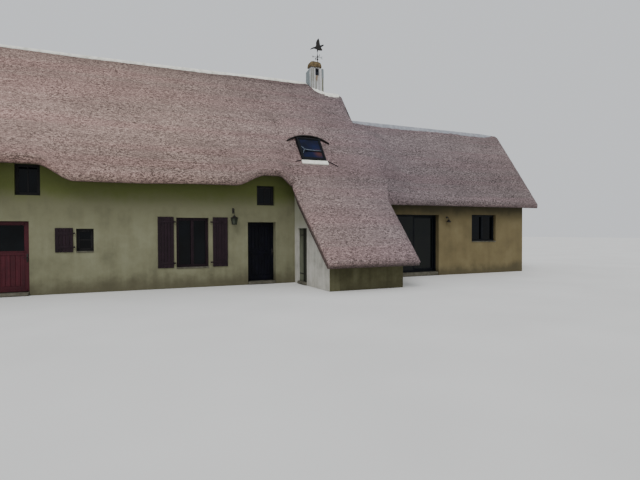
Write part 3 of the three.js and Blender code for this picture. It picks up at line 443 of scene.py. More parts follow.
# how the surface is worked: spacing of its points, length of slope to a metre of run, then the height of each
# kind of unevenness
thatchWork = {"frontStep": 0.03, "rearStep": 0.055, "slopeLength": 1.53, "hollow": 0.016, "course": 0.006,
              "tuft": 0.007, "fringe": 0.012}
mainRoof, wingRoof, sweepForm = roofForm["main"], roofForm["wing"], roofForm["sweep"]
seam = 0.0003      # half the gap between two pieces of thatch that meet


def thatchRelief(x, y):
    # hollows a stride wide, plus courses, plus tufts longer across the slope than down it, fixed to x and y
    hollow = softNoise(x / 1.5 + 40, y / 1.0 + 40, 3)
    course = softNoise(x / 0.8 + 90, y / 0.15 + 60, 5)
    tuft = softNoise(x / 0.11 + 120, y / 0.05 + 200, 7)
    return thatchWork["hollow"] * hollow + thatchWork["course"] * course + thatchWork["tuft"] * tuft


def browLift(x, share):
    # a brow is level over its middle and eases out by half a cosine; it fades as (1 - 2 share)^2 up the slope
    swell = np.zeros_like(x)
    for middle, left, right, level, rise in roofForm["brows"]:
        out = np.abs(x - middle) - level
        reach = np.where(x < middle, left, right) - level
        eased = 0.5 * (1 + np.cos(np.pi * np.clip(out / reach, 0, 1)))
        swell = np.maximum(swell, rise * np.where(out <= 0, 1, eased))
    return np.maximum(0, 1 - share / 0.5) ** 2 * swell


def leanOf(roof):
    # how far the top edge of the thatch lies outside and above the edge of the underside, square to the slope
    length = math.hypot(1, roof["slope"])
    return roofForm["depth"] * roof["slope"] / length, roofForm["depth"] / length


def topPlane(roof, y, thickness):
    # the line of the underside, raised by the depth of the thatch as measured upright
    upright = roofForm["depth"] * math.hypot(1, roof["slope"])
    return roof["eaveZ"] + (y - roof["eaveY"]) * roof["slope"] + upright * thickness


def undersideOf(roof, y):
    rising = roof["eaveZ"] + (y - roof["eaveY"]) * roof["slope"]
    return np.minimum(rising, roof["ridgeTop"] - roofForm["underCrest"])


def crestOf(roof, x, thickness):
    # the main crest climbs towards the chimney and drops beside it; the verges round it off
    climb = roof.get("raised", 0) + roof.get("climbs", 0) * smoothStep(x, *roofForm["climbOver"])
    beside = smoothStep(x, *roofForm["chimney"])
    rounded = roof.get("rounds", 0.2) * (1 - thickness)
    return roof["ridgeTop"] + climb * (1 - beside) - roof["settles"] * beside - rounded


def fullSlope(roof, x, y):
    # the top of the main slope has been thatched over more often towards the chimney, and not beyond it
    towards = smoothStep(x, *roofForm["fullOver"]) * (1 - smoothStep(x, *roofForm["fullEnds"]))
    return roof.get("full", 0) * towards * (1 - smoothStep(-y, *roofForm["fullDown"]))


def vergeShare(x, end):
    # the thatch thins over its last hand-widths before a free verge, as the square root of the way in
    thin = roofForm["vergeThin"]
    return np.minimum(1, thin + (1 - thin) * np.sqrt(np.clip(np.abs(x - end) / roofForm["vergeWide"], 0, 1)))


def lipRows(start, middle, end, rows=7):
    # the cut end of the thatch: a bow from the underside's edge through the outermost point to the top
    t = np.linspace(0, 1, rows + 2)[1:-1][None, :, None]
    bend = 2 * middle - (start + end) / 2
    return (1 - t) ** 2 * start[:, None] + 2 * t * (1 - t) * bend[:, None] + t ** 2 * end[:, None]


def slopeLoops(roof, x, thickness, lift, pile, step):
    # closed loops along x: the underside from eave to ridge, the top back down, and the cut end between them
    out, up = leanOf(roof)
    run = roof["ridgeY"] - roof["eaveY"]
    rows = int(run * thatchWork["slopeLength"] / step)
    lean = roof.get("vergeLean", 0) * smoothStep(x, mainRoof["right"], wingRoof["right"])
    # the main verges above the wing are drawn in, the rear one less; the wing's thatch follows the front one
    if pile is piledThatch:
        tuck = (1 - smoothStep(x, mainRoof["right"], mainRoof["right"] + roofForm["runUp"]))[:, None]
    else:
        tuck = roof.get("rearIn", 0) * smoothStep(x, mainRoof["right"] - 0.75, mainRoof["right"])[:, None]
    leanAt = lambda y: x[:, None] + lean[:, None] * ((y - roof["eaveY"]) / run - 0.5) - tuck * vergeLeaning(y)
    underShare = np.array([0, 0.12, 0.25, 0.4, 0.6, 0.8, 0.963, 1.0])[None, :]
    underY = roof["eaveY"] + underShare * run + 0 * x[:, None]
    underZ = undersideOf(roof, underY) + lift(x[:, None], underShare)
    lipY = (roof["eaveY"] - out * thickness)[:, None]
    share = np.linspace(0.012, 1, rows)[None, :]
    topY = lipY + share * (roof["ridgeY"] - lipY)
    crest = crestOf(roof, x, thickness)[:, None]
    topX = leanAt(topY)
    plane = topPlane(roof, topY, thickness[:, None]) + fullSlope(roof, topX, topY)
    topZ = np.minimum(plane, crest) + lift(x[:, None], share)
    topZ = np.minimum(topZ + pile(topX, topY), np.maximum(crest, topZ)) + thatchRelief(topX, topY)
    sag = roofForm["sag"] * (1 - smoothStep(x, *roofForm["sagOver"]))
    underZ[:, 0] -= sag
    topZ = topZ - sag[:, None] * np.clip(1 - share * 9, 0, 1)
    under = np.stack([leanAt(underY), underY, underZ], 2)
    top = np.stack([topX, topY, topZ], 2)
    fringe = thatchWork["fringe"] * softNoise(x / 0.12, x * 0, 9)
    outer = np.stack([leanAt(lipY)[:, 0], roof["eaveY"] - out * thickness * 0.62 + fringe,
                      roof["eaveZ"] + up * thickness * 0.4 + lift(x, 0 * x) + fringe - sag], 1)
    lip = lipRows(under[:, 0], outer, top[:, 0])
    return np.concatenate([under, top[:, ::-1], lip[:, ::-1]], 1), under.shape[1]


def thatchPiece(name, loops, underRows, node):
    # the underside, the lip's low side and the two closing ends take the cut ends' darker colour, painted
    # shade under the lip
    sections, count = loops.shape[:2]
    row = np.tile(np.arange(count), sections - 1)
    cut = np.where(row < underRows, 1.0, np.clip((row - count + 3) / 3, 0, 1) * 0.9)
    makePiece(name, *ringed(loops), "thatch", replaces=node, cutEnd=np.append(cut, (0.6, 0.6)))


def mirrored(loops, middleY):
    turned = loops.copy()
    turned[:, :, 1] = 2 * middleY - turned[:, :, 1]
    return turned[::-1]


def noLift(x, share):
    return 0 * x * share


def noPile(x, y):
    return 0 * x


def buildMainSlopes():
    left, right = mainRoof["left"], mainRoof["right"]
    step = thatchWork["frontStep"]
    x = np.linspace(left, sweepForm["left"] - seam, int((sweepForm["left"] - left) / step))
    loops = slopeLoops(mainRoof, x, vergeShare(x, left), browLift, noPile, step)
    thatchPiece("thatch_front_combed", *loops, "thatch_front")
    step = thatchWork["rearStep"]
    x = np.linspace(left, right, int((right - left) / step))
    thickness = np.minimum(vergeShare(x, left), vergeShare(x, right))
    loops, under = slopeLoops(mainRoof, x, thickness, noLift, noPile, step)
    thatchPiece("thatch_rear_combed", mirrored(loops, 0.0), under, "thatch_rear")


# The slope that runs on down over the lean-to, swollen over the hood of the roof light
roofLight = {
    "x": 4.665, "lowZ": 4.3, "width": 0.93, "length": 1.08, "tilt": 0.1, "rim": 0.06,
    "hoodHalf": 0.84, "hoodTop": 1.265, "hoodFall": 0.24, "swell": 0.23, "spread": 0.76,
}
sweepWork = {
    # where the underside has its rows, and how many rows the top has on its flatter and on its steep part
    "underY": (-6.5, -5.8, -5.1, -4.4, -3.75, -1.9, -0.157, 0.0), "lowRows": 133, "highRows": 190,
    "wide": 3.7, "topFrom": -6.6,
    # the opening under the roof light: half its width, foot and head along the slope, depth
    "opening": (0.43, 0.03, 1.06, 0.24),
    # the outermost point of the cut end, out from the eave and up from it, and where the end is measured
    "lipOut": 0.17, "lipUp": 0.185, "lipAt": 0.19,
}
slopeAngle = math.atan(mainRoof["slope"])
lightFootUp = roofLight["lowZ"] - topPlane(mainRoof, mainRoof["eaveY"], 1)
lightFootY = mainRoof["eaveY"] + lightFootUp / mainRoof["slope"]


def slopePoint(across, along, out):
    # along the slope and out of it, turned by the slope's angle and set at the foot of the roof light
    level, rise = math.cos(slopeAngle), math.sin(slopeAngle)
    return np.stack([roofLight["x"] + across + 0 * along,
                     lightFootY + along * level - out * rise + 0 * across,
                     roofLight["lowZ"] + along * rise + out * level + 0 * across], -1)


def sweepUnder(y):
    flatter = (mainRoof["eaveZ"] - sweepForm["eaveZ"]) / (mainRoof["eaveY"] - sweepForm["eaveY"])
    below = mainRoof["eaveZ"] + (y - mainRoof["eaveY"]) * flatter
    return np.where(y > mainRoof["eaveY"], undersideOf(mainRoof, y), below), flatter


def vergeLeaning(y):
    # drawn in evenly from the ridge down to "upperTo", then back out over the next 0.6 m
    low = sweepForm["upperTo"]
    return sweepForm["upperIn"] * np.clip(-y / low, 0, 1) * (1 - smoothStep(-y, low, low + 0.6))


def sweepStart(y):
    # the left verge bows out just below the eave and runs straight again at the foot
    bowed = smoothStep(-y, 3.72, 3.98) * (1 - smoothStep(-y, 4.3, 6.4))
    return sweepForm["left"] - sweepForm["leftBow"] * bowed


def sweepEnd(y):
    # the right verge leans in at the top, steps in beside the wing's eave, and slants on in to the low corner
    steppedIn = (mainRoof["right"] - sweepForm["right"]) * smoothStep(-y, 3.7, 4.5)
    slanted = sweepForm["cornerIn"] * np.clip((-y - 4.1) / 2.6, 0, 1)
    return mainRoof["right"] - vergeLeaning(y) - steppedIn - slanted


def sweepThickness(x, y):
    free = np.maximum(smoothStep(y, -1.5, -0.9), smoothStep(-y, 3.85, 4.3))
    right = 1 - (1 - vergeShare(x, sweepEnd(y))) * free
    return np.where(y < mainRoof["eaveY"] - 0.1, np.minimum(right, vergeShare(x, sweepStart(y))), right)


def hoodLift(x, y):
    # a swelling with square shoulders across, exp(-x^4), that dies away fast below the hood and slowly above
    headY = slopePoint(np.zeros(1), np.array([roofLight["hoodTop"]]), 0.0)[0, 1]
    reach = np.where(y < headY, 0.12, 0.8)
    side = np.exp(-((x - roofLight["x"]) / roofLight["spread"]) ** 4)
    return roofLight["swell"] * side * np.exp(-((y - headY) / reach) ** 2)


def stackSaddle(x, y):
    # thatch packed up against the front of the stack's left corner: a bell both ways, below the crest line
    v = roofForm["saddle"]
    return v["high"] * np.exp(-((x - v["x"]) / v["wide"]) ** 2 - ((y - v["y"]) / v["deep"]) ** 2)


def sweepTop(x, y):
    thickness = sweepThickness(x, y)
    under, flatter = sweepUnder(y)
    rise = roofForm["depth"] * math.hypot(1, flatter) * thickness
    plain = np.where(y > mainRoof["eaveY"], topPlane(mainRoof, y, thickness), under + rise)
    plain = plain + fullSlope(mainRoof, x, y) + stackSaddle(x, y)
    return np.minimum(plain + hoodLift(x, y), crestOf(mainRoof, x, thickness))


def buildSweep(v):
    share = np.linspace(0, 1, int(v["wide"] / thatchWork["frontStep"]))[:, None]
    underY = np.array(v["underY"])[None, :]
    # the rows are closer together on the steep part, so that they keep one spacing along the slope
    bend = mainRoof["eaveY"]
    lowY, highY = np.linspace(v["topFrom"], bend, v["lowRows"]), np.linspace(bend + 0.02, 0, v["highRows"])
    topY = np.concatenate([lowY, highY])[None, :] + 0 * share
    at = lambda y: sweepStart(y) + share * (sweepEnd(y) - sweepStart(y))
    under = np.stack([at(underY), underY + 0 * share, sweepUnder(underY)[0] + 0 * share], 2)
    topX = at(topY)
    topZ = sweepTop(topX, topY) + thatchRelief(topX, topY)
    # the opening under the roof light is let down into the thatch
    half, foot, head, deep = v["opening"]
    along = (topY - lightFootY) * math.cos(slopeAngle) + (topZ - roofLight["lowZ"]) * math.sin(slopeAngle)
    topZ = topZ - deep * ((np.abs(topX - roofLight["x"]) < half) & (along > foot) & (along < head))
    top = np.stack([topX, topY, topZ], 2)
    lipY = np.full((1, 1), sweepForm["eaveY"] - v["lipAt"])
    lipX = at(lipY)
    lipShare = sweepThickness(lipX, lipY + 0 * share)[:, 0]
    fringe = np.abs(thatchWork["fringe"] * softNoise(lipX[:, 0] / 0.12, 0 * lipShare, 9))
    outer = np.stack([lipX[:, 0], sweepForm["eaveY"] - v["lipOut"] * lipShare + fringe,
                      sweepForm["eaveZ"] + v["lipUp"] * lipShare + fringe], 1)
    lip = lipRows(under[:, 0], outer, top[:, 0])
    loops = np.concatenate([under, top[:, ::-1], lip[:, ::-1]], 1)
    thatchPiece("thatch_sweep_combed", loops, under.shape[1], "thatch_sweep")


def piledThatch(x, y):
    # the wing's thatch is piled against the side of the main slope and dies away over the next stride
    step = topPlane(mainRoof, y, 1) - topPlane(wingRoof, y, 1)
    # it is left out near the ridge, so that the wing's cap runs on to the verge, and thins towards the eave
    away = 1 - smoothStep(x, mainRoof["right"], mainRoof["right"] + roofForm["runUp"])
    away = away * (x > sweepEnd(y) - 1e-6)
    return step * away * (1 - smoothStep(y, -1.75, -1.15)) * (1 - 0.7 * smoothStep(-y, 3.0, 3.9))


def buildWingSlopes():
    left, right, meet = wingRoof["left"] + seam, wingRoof["right"], mainRoof["right"] + seam
    for side, pile in (("front", piledThatch), ("rear", noPile)):
        step = thatchWork[side + "Step"]
        x = np.concatenate([[left, meet - 2 * seam], np.linspace(meet, right, int((right - meet) / step))])
        loops, under = slopeLoops(wingRoof, x, vergeShare(x, right), noLift, pile, step)
        if side == "rear":
            loops = mirrored(loops, wingRoof["ridgeY"])
        thatchPiece("wing_thatch_" + side + "_combed", loops, under, "wing_thatch_" + side)


buildMainSlopes()
buildSweep(sweepWork)
buildWingSlopes()
print("thatch laid")

# Ridge caps

ridgeCaps = {
    # from x to x, half-width of the kerb, its height, how far the mortar drapes down each slope, over what
    # stretch its left and right end narrow, and how much lower it gets towards the right
    "main_left": {"roof": mainRoof, "from": -7.05, "to": 5.76, "kerb": 0.07, "height": 0.105, "drape": 0.01,
                  "endIn": (0.1, 0.0), "lowers": 0.045},
    "main_right": {"roof": mainRoof, "from": 6.4, "to": 7.17, "kerb": 0.27, "height": 0.065, "drape": 0.14,
                   "endIn": (0.0, 0.12)},
    "wing": {"roof": wingRoof, "from": 7.351, "to": 15.3, "kerb": 0.11, "height": 0.05, "drape": 0.17,
             "endIn": (0.0, 0.8)},
    "lump": 0.003, "coat": 0.022, "step": 0.04,
}


def capLoops(v):
    # across the ridge: the crest line falls away with the slope below it, plus a coat that thins to its edges
    # as the fourth root of the way in, plus the kerb's rounded rise; all of it roughened by lumps
    x = np.linspace(v["from"], v["to"], int((v["to"] - v["from"]) / ridgeCaps["step"]))[:, None]
    ragged = 1 + 0.06 * softNoise(x / 0.35, 0 * x, 21) + 0.03 * softNoise(x / 0.11, 0 * x, 22)
    # a free end narrows and sinks over its last stretch, as the square root of the way in
    first, second = (np.sqrt(np.clip(np.abs(x - end) / max(reach, 1e-6), 0.02, 1)) for end, reach in
                     zip((v["from"], v["to"]), v["endIn"]))
    fullness = np.minimum(first if v["endIn"][0] else 1, second if v["endIn"][1] else 1)
    half = (v["kerb"] + v["drape"]) * ragged * (0.35 + 0.65 * fullness)
    t = np.linspace(-1, 1, 25)[None, :]
    y = t * half
    roof = v["roof"]
    crest = crestOf(roof, x, 1.0) + 0 * y
    surface = np.minimum(crest, topPlane(roof, roof["ridgeY"] - np.abs(y), 1.0) + fullSlope(roof, x, y))
    coat = ridgeCaps["coat"] * np.clip(1 - np.abs(t), 0, 1) ** 0.25
    height = v["height"] - v.get("lowers", 0) * smoothStep(x, -3.0, 3.0)
    kerb = height * np.clip(1 - (np.abs(y) / (v["kerb"] * 1.25)) ** 3.2, 0, 1)
    lump = softNoise(x / 0.2 + 5, y / 0.1 + 9, 23) + 0.5 * softNoise(x / 0.07, y / 0.06, 24)
    lump = ridgeCaps["lump"] * lump
    z = surface + (coat + kerb * 0.85) * fullness + lump * np.clip(1.15 - np.abs(t), 0, 1) - 0.004
    top = np.stack([x + 0 * y, roof["ridgeY"] + y, z], 2)
    low = np.stack([x + 0 * y, roof["ridgeY"] + y * 0.96, surface - 0.05 + 0 * y], 2)
    return np.concatenate([low, top[:, ::-1]], 1)


# The skirt of mortar round the stack: the stack's faces, where it starts at the left and at the right, and
# its profile as pairs of (out from the face, share of the way down, where 1.1 lies inside the thatch)
flashingForm = {"x": (5.74, 6.42), "y": (-0.25, 0.19), "leftTop": 7.9, "rightTop": 7.78,
                "profile": ((-0.02, 0.0), (0.004, 0.0), (0.012, 0.03), (0.03, 0.11), (0.05, 0.2),
                            (0.085, 1.0), (0.07, 1.1), (-0.02, 1.1))}


def flashingLoops(v):
    # a fillet of mortar round the stack: each loop is a profile that falls from the stack's face out to the
    # thatch, carried once round a rectangle whose corners are rounded by the eighth power
    turn = np.linspace(0, 2 * np.pi, 97)
    mx, my = sum(v["x"]) / 2, sum(v["y"]) / 2
    hx, hy = (v["x"][1] - v["x"][0]) / 2, (v["y"][1] - v["y"][0]) / 2
    c, s = np.cos(turn), np.sin(turn)
    radius = (np.abs(c) ** 8 + np.abs(s) ** 8) ** (-1 / 8)
    ux, uy = c * radius, s * radius
    px, py = mx + ux * hx, my + uy * hy
    share = (px - v["x"][0]) / (v["x"][1] - v["x"][0])
    topZ = v["leftTop"] + (v["rightTop"] - v["leftTop"]) * share + 0.02 * softNoise(turn / 0.3, 0 * turn, 31)
    topZ[-1] = topZ[0]
    profile = []
    for out, down in v["profile"]:
        qx, qy = px + np.sign(ux) * np.abs(ux) ** 3 * out, py + np.sign(uy) * np.abs(uy) ** 3 * out
        slope = topPlane(mainRoof, -np.abs(qy), 1.0) + fullSlope(mainRoof, qx, qy) + stackSaddle(qx, qy)
        ground = np.minimum(crestOf(mainRoof, qx, 1.0), slope) - 0.01
        drop = np.maximum(topZ - ground, 0.05)
        z = topZ - drop * np.clip(down / 0.2, 0, 1) if down <= 0.2 else ground - 0.03 * (down > 1)
        profile.append(np.stack([qx, qy, z], 1))
    return np.stack(profile, 1)


def buildRidgeCaps():
    forms = [capLoops(ridgeCaps[key]) for key in ("main_left", "main_right")]
    parts = [ringed(loops) for loops in forms] + [ringed(flashingLoops(flashingForm), False)]
    makePiece("main_ridge_mortar", *joined(*parts), "mortar", replaces="main_ridge_cap")
    loops = capLoops(ridgeCaps["wing"])
    makePiece("wing_ridge_mortar", *ringed(loops), "mortar", finish="grey_mortar",
              replaces="wing_ridge_cap")


# Bars, tubes and turned forms


def blockTemplate():
    # a block whose edges are chamfered: each of its eight corners has one point on each of its three faces
    signs = np.array([(a, b, c) for a in (-1, 1) for b in (-1, 1) for c in (-1, 1)])
    corner = {tuple(sign): k for k, sign in enumerate(signs)}
    at = lambda sign, axis: corner[tuple(sign)] * 3 + axis
    faces = []
    for k in range(3):
        l, m = (k + 1) % 3, (k + 2) % 3
        for a in (-1, 1):
            loop = []
            for b, c in ((-1, -1), (1, -1), (1, 1), (-1, 1)):
                sign = [0, 0, 0]
                sign[k], sign[l], sign[m] = a, b, c
                loop.append(at(sign, k))
            faces.append(loop if a > 0 else loop[::-1])
            for b in (-1, 1):
                ends = []
                for c in (-1, 1):
                    sign = [0, 0, 0]
                    sign[k], sign[l], sign[m] = a, b, c
                    ends.append(sign)
                loop = [at(ends[0], k), at(ends[0], l), at(ends[1], l), at(ends[1], k)]
                faces.append(loop if a * b > 0 else loop[::-1])
    for sign in signs:
        loop = [at(sign, 0), at(sign, 1), at(sign, 2)]
        faces.append(loop if sign.prod() > 0 else loop[::-1])
    axis = np.tile(np.arange(3), 8)
    return np.repeat(signs, 3, axis=0), axis, faces


blockSigns, blockAxis, blockFaces = blockTemplate()


def blocks(rows, chamfer=0.004):
    # from rows of x0, x1, y0, y1, z0, z1: middle plus sign times half-size, less the chamfer off other faces
    rows = np.asarray(rows, float).reshape(-1, 6)
    low, high = rows[:, 0::2], rows[:, 1::2]
    half = (high - low) / 2
    edge = np.minimum(chamfer, half.min(1) * 0.45)[:, None, None]
    inset = (blockAxis[:, None] != np.arange(3))[None]
    points = (low + high)[:, None] / 2 + blockSigns[None] * (half[:, None] - edge * inset)
    faces = [[corner + 24 * k for corner in face] for k in range(len(rows)) for face in blockFaces]
    return points.reshape(-1, 3), faces


def tube(path, radius, sides=10):
    # a ring of points carried along a path, square to it, its first direction kept as level as it can be
    path = np.asarray(path, float)
    along = np.gradient(path, axis=0)
    along /= np.linalg.norm(along, axis=1)[:, None]
    guide = np.array([0.0, 0.0, 1.0]) if np.abs(along[:, 2]).max() < 0.9 else np.array([0.3, 1.0, 0.0])
    side = np.cross(along, guide)
    side /= np.linalg.norm(side, axis=1)[:, None]
    rise = np.cross(side, along)
    turn = np.linspace(0, 2 * np.pi, sides, endpoint=False)[None, :, None]
    radius = np.broadcast_to(np.asarray(radius, float), (len(path),))[:, None, None]
    loops = path[:, None] + radius * (np.cos(turn) * side[:, None] - np.sin(turn) * rise[:, None])
    return ringed(loops)


def turned(profile, middle, sides=24):
    # a profile of (radius, height) turned about the vertical through middle, from its foot up
    profile = np.asarray(profile, float)
    turn = np.linspace(0, 2 * np.pi, sides, endpoint=False)[None, :]
    x = middle[0] + profile[:, :1] * np.cos(turn)
    y = middle[1] + profile[:, :1] * np.sin(turn)
    z = middle[2] + profile[:, 1:] + 0 * turn
    return ringed(np.stack([x, y, z], 2))


def facingFront(profile, x, y, z, sides=24):
    # a turned form laid on its back: its foot lies at y and its top points at the garden
    points, faces = turned(profile, (0, 0, 0), sides)
    return np.stack([x + points[:, 0], y - points[:, 2], z + points[:, 1]], 1), faces


def slab(low, high, wear, seed, across, around):
    # a worn stone: a ball whose powers square it up to a block, then softened by noise of the given depth
    v = np.linspace(-np.pi / 2 + 1e-3, np.pi / 2 - 1e-3, across)[:, None]
    u = np.linspace(-np.pi, np.pi, around, endpoint=False)[None, :]
    bend = lambda w: np.sign(w) * np.abs(w) ** 0.16
    level = bend(np.cos(v))
    unit = np.stack([level * bend(np.cos(u)), level * bend(np.sin(u)), bend(np.sin(v)) + 0 * u], 2)
    low, high = np.array(low), np.array(high)
    points = (low + high) / 2 + unit * (high - low) / 2
    dent = wear * (softNoise(points[..., 0] / 0.16 + seed, points[..., 1] / 0.16, seed) - 1) / 2
    points = points + unit * dent[..., None] * np.array([1, 1, 0.6])
    return ringed(points)


def joined(*parts):
    points, faces, count = [], [], 0
    for partPoints, partFaces in parts:
        points.append(partPoints)
        faces += [[corner + count for corner in face] for face in partFaces]
        count += len(partPoints)
    return np.concatenate(points), faces


def makeJoinery(name, rows, slotName, chamfer, seed=None, paintedShade=None, **more):
    # flat-sided blocks; with a seed each block carries a tone of its own, less any painted shade given for it
    if seed is not None:
        tone = np.random.RandomState(seed).uniform(-1, 1, len(rows))
        if paintedShade is not None:
            tone = tone - paintedShade
        more["tone"] = tone.repeat(len(blockFaces))
    makePiece(name, *blocks(rows, chamfer), slotName, smooth=False, **more)


def boards(x, y, z, count, seed, gap=0.003, axis=0):
    # upright boards side by side along one axis, of slightly different widths
    span = (x, y)[axis]
    share = np.cumsum(np.random.RandomState(seed).uniform(0.85, 1.15, count))
    edges = span[0] + (span[1] - span[0]) * np.concatenate([[0], share / share[-1]])
    rows = np.tile(np.array([*x, *y, *z], float), (count, 1))
    rows[:, axis * 2], rows[:, axis * 2 + 1] = edges[:-1] + gap / 2, edges[1:] - gap / 2
    return rows


buildRidgeCaps()
print("ridges capped")

# Left door: maroon, glazed above boards

leftDoor = {"x": (-5.014, -4.106), "y": (-3.18, -3.13), "z": (0.106, 2.084),
            "pane": (-4.904, -4.216, 1.24, 1.995), "rail": 0.1, "foot": 0.16, "bead": 0.014, "boards": 6,
            "handleZ": 1.06, "hinges": (0.3, 1.75)}


def buildLeftDoor(v):
    (x0, x1), (y0, y1), (z0, z1) = v["x"], v["y"], v["z"]
    a, b, c, d = v["pane"]
    low, high, bead = z0 + v["foot"], c - v["rail"], v["bead"]
    beadY = (y0 + 0.004, y0 + 0.018)
    frameRows = [
        (x0, a, y0, y1, z0, z1), (b, x1, y0, y1, z0, z1), (a, b, y0, y1, d, z1), (a, b, y0, y1, high, c),
        (a, b, y0, y1, z0, low),
        # glazing beads round the pane
        (a, b, *beadY, c, c + bead), (a, b, *beadY, d - bead, d),
        (a, a + bead, *beadY, c, d), (b - bead, b, *beadY, c, d),
        # weather bar and the rail under the glass
        (x0 + 0.06, x1 - 0.06, y0 - 0.022, y0 + 0.005, 0.112, 0.15),
        (a - 0.02, b + 0.02, y0 - 0.012, y0, c - 0.03, c - 0.006),
    ]
    panel = boards((a, b), (y0 + 0.012, y1 - 0.01), (low, high), v["boards"], 11)
    makeJoinery("left_door_joinery", np.concatenate([frameRows, panel]), "maroon_paint", 0.005, seed=12,
                body="left_door", replaces="left_door_leaf")
    # lever handle on a long plate, and two butt hinges
    hx, hz = x1 - 0.05, v["handleZ"]
    plate = blocks([(hx - 0.02, hx + 0.02, y0 - 0.005, y0, hz - 0.13, hz + 0.11)]
                   + [(x0 - 0.002, x0 + 0.004, y0 - 0.004, y1, z, z + 0.1) for z in v["hinges"]], 0.002)
    lever = tube([(hx, y0 - 0.003, hz), (hx, y0 - 0.03, hz), (hx - 0.012, y0 - 0.042, hz),
                  (hx - 0.05, y0 - 0.043, hz), (hx - 0.11, y0 - 0.04, hz - 0.004)], 0.008)
    makePiece("left_door_handle", *joined(plate, lever), "wrought_iron", body="left_door")


# Entrance door: framed boards in blue-black paint, drawn near-black as painted shade of a dark doorway

entrance = {"x": (2.206, 3.174), "y": (-3.04, -2.99), "z": (0.106, 2.094), "stile": 0.09, "head": 0.11,
            "foot": 0.18, "rail": (1.0, 1.12), "boards": 7, "handleZ": 1.08,
            "knob": ((0.001, 0), (0.012, 0.0), (0.012, 0.02), (0.028, 0.03), (0.03, 0.045), (0.02, 0.06),
                     (0.001, 0.062))}      # radius, out from the plate


def buildEntrance(v):
    (x0, x1), (y0, y1), (z0, z1) = v["x"], v["y"], v["z"]
    a, b, low, high = x0 + v["stile"], x1 - v["stile"], z0 + v["foot"], z1 - v["head"]
    railLow, railHigh = v["rail"]
    frameRows = [(x0, a, y0, y1, z0, z1), (b, x1, y0, y1, z0, z1), (a, b, y0, y1, high, z1),
                 (a, b, y0, y1, z0, low), (a, b, y0, y1, railLow, railHigh)]
    panels = [boards((a, b), (y0 + 0.012, y1 - 0.008), span, v["boards"], 21)
              for span in ((low, railLow), (railHigh, high))]
    makeJoinery("entrance_joinery", np.concatenate([frameRows, *panels]), "dark_blue_paint", 0.005, seed=22,
                body="entrance_door", replaces="entrance_leaf")
    hx, hz = x1 - 0.045, v["handleZ"]
    plate = blocks([(hx - 0.02, hx + 0.02, y0 - 0.005, y0, hz - 0.12, hz + 0.1)], 0.002)
    knob = facingFront(v["knob"], hx, y0 - 0.004, hz)
    makePiece("entrance_handle", *joined(plate, knob), "wrought_iron", body="entrance_door")


# Side door: bare grey boards with three ledges inside, hung on long straps, beside a dark post. The first two
# boards are nearly black: painted shade beside the post

sideDoor = {"x": (3.93, 3.97), "y": (-4.214, -3.626), "z": (0.106, 1.884), "boards": 5, "board": 0.022,
            "ledges": (0.3, 0.95, 1.6), "straps": (0.34, 1.64), "shadedBoards": 2, "paintedShade": 5.4,
            "ring": 0.032, "post": (3.93, 4.05, -4.3897, -4.22, 0.1003, 1.8897)}


def buildSideDoor(v):
    (x0, x1), (y0, y1), (z0, z1) = v["x"], v["y"], v["z"]
    inside = x0 + v["board"]
    front = boards((x0, inside), (y0, y1), (z0, z1), v["boards"], 31, gap=0.006, axis=1)
    ledges = [(inside, x1, y0 + 0.04, y1 - 0.04, z, z + 0.12) for z in v["ledges"]]
    rows = np.concatenate([front, ledges])
    makeJoinery("side_door_boards", rows, "old_boards", 0.004, seed=32, body="side_door",
                replaces="side_door_leaf", paintedShade=v["paintedShade"] * (np.arange(len(rows)) < v["shadedBoards"]))
    straps = blocks([(x0 - 0.005, x0, y0 + 0.14, y1 - 0.004, z, z + 0.035) for z in v["straps"]], 0.002)
    turn = np.linspace(0, 2 * np.pi, 25)
    ringX, ringY, ringZ, radius = x0 - 0.012, y0 + 0.07, 1.0, v["ring"]
    ring = np.stack([ringX + 0 * turn, ringY + radius * np.sin(turn), ringZ + radius * np.cos(turn)], 1)
    makePiece("side_door_iron", *joined(straps, tube(ring, 0.005, 8)), "wrought_iron", body="side_door")
    makeJoinery("side_door_jamb", [v["post"]], "dark_frame", 0.008, replaces="side_door_post")


buildLeftDoor(leftDoor)
buildEntrance(entrance)
buildSideDoor(sideDoor)
print("doors hung")

# Garden door: dark coated sections round one fixed and one sliding pane

gardenDoor = {"x": (7.9903, 10.0894), "y": (-3.11, -2.96), "z": (0.1503, 2.4297),
              "opening": (8.05, 10.03, 0.21, 2.37), "mullion": (9.0, 9.06, -3.098, -3.053), "lip": 0.012,
              "leaf": (8.99, 10.023, 0.216, 2.364), "leafY": (-3.043, -2.998),
              "pane": (9.06, 9.953, 0.296, 2.294), "bead": 0.01}


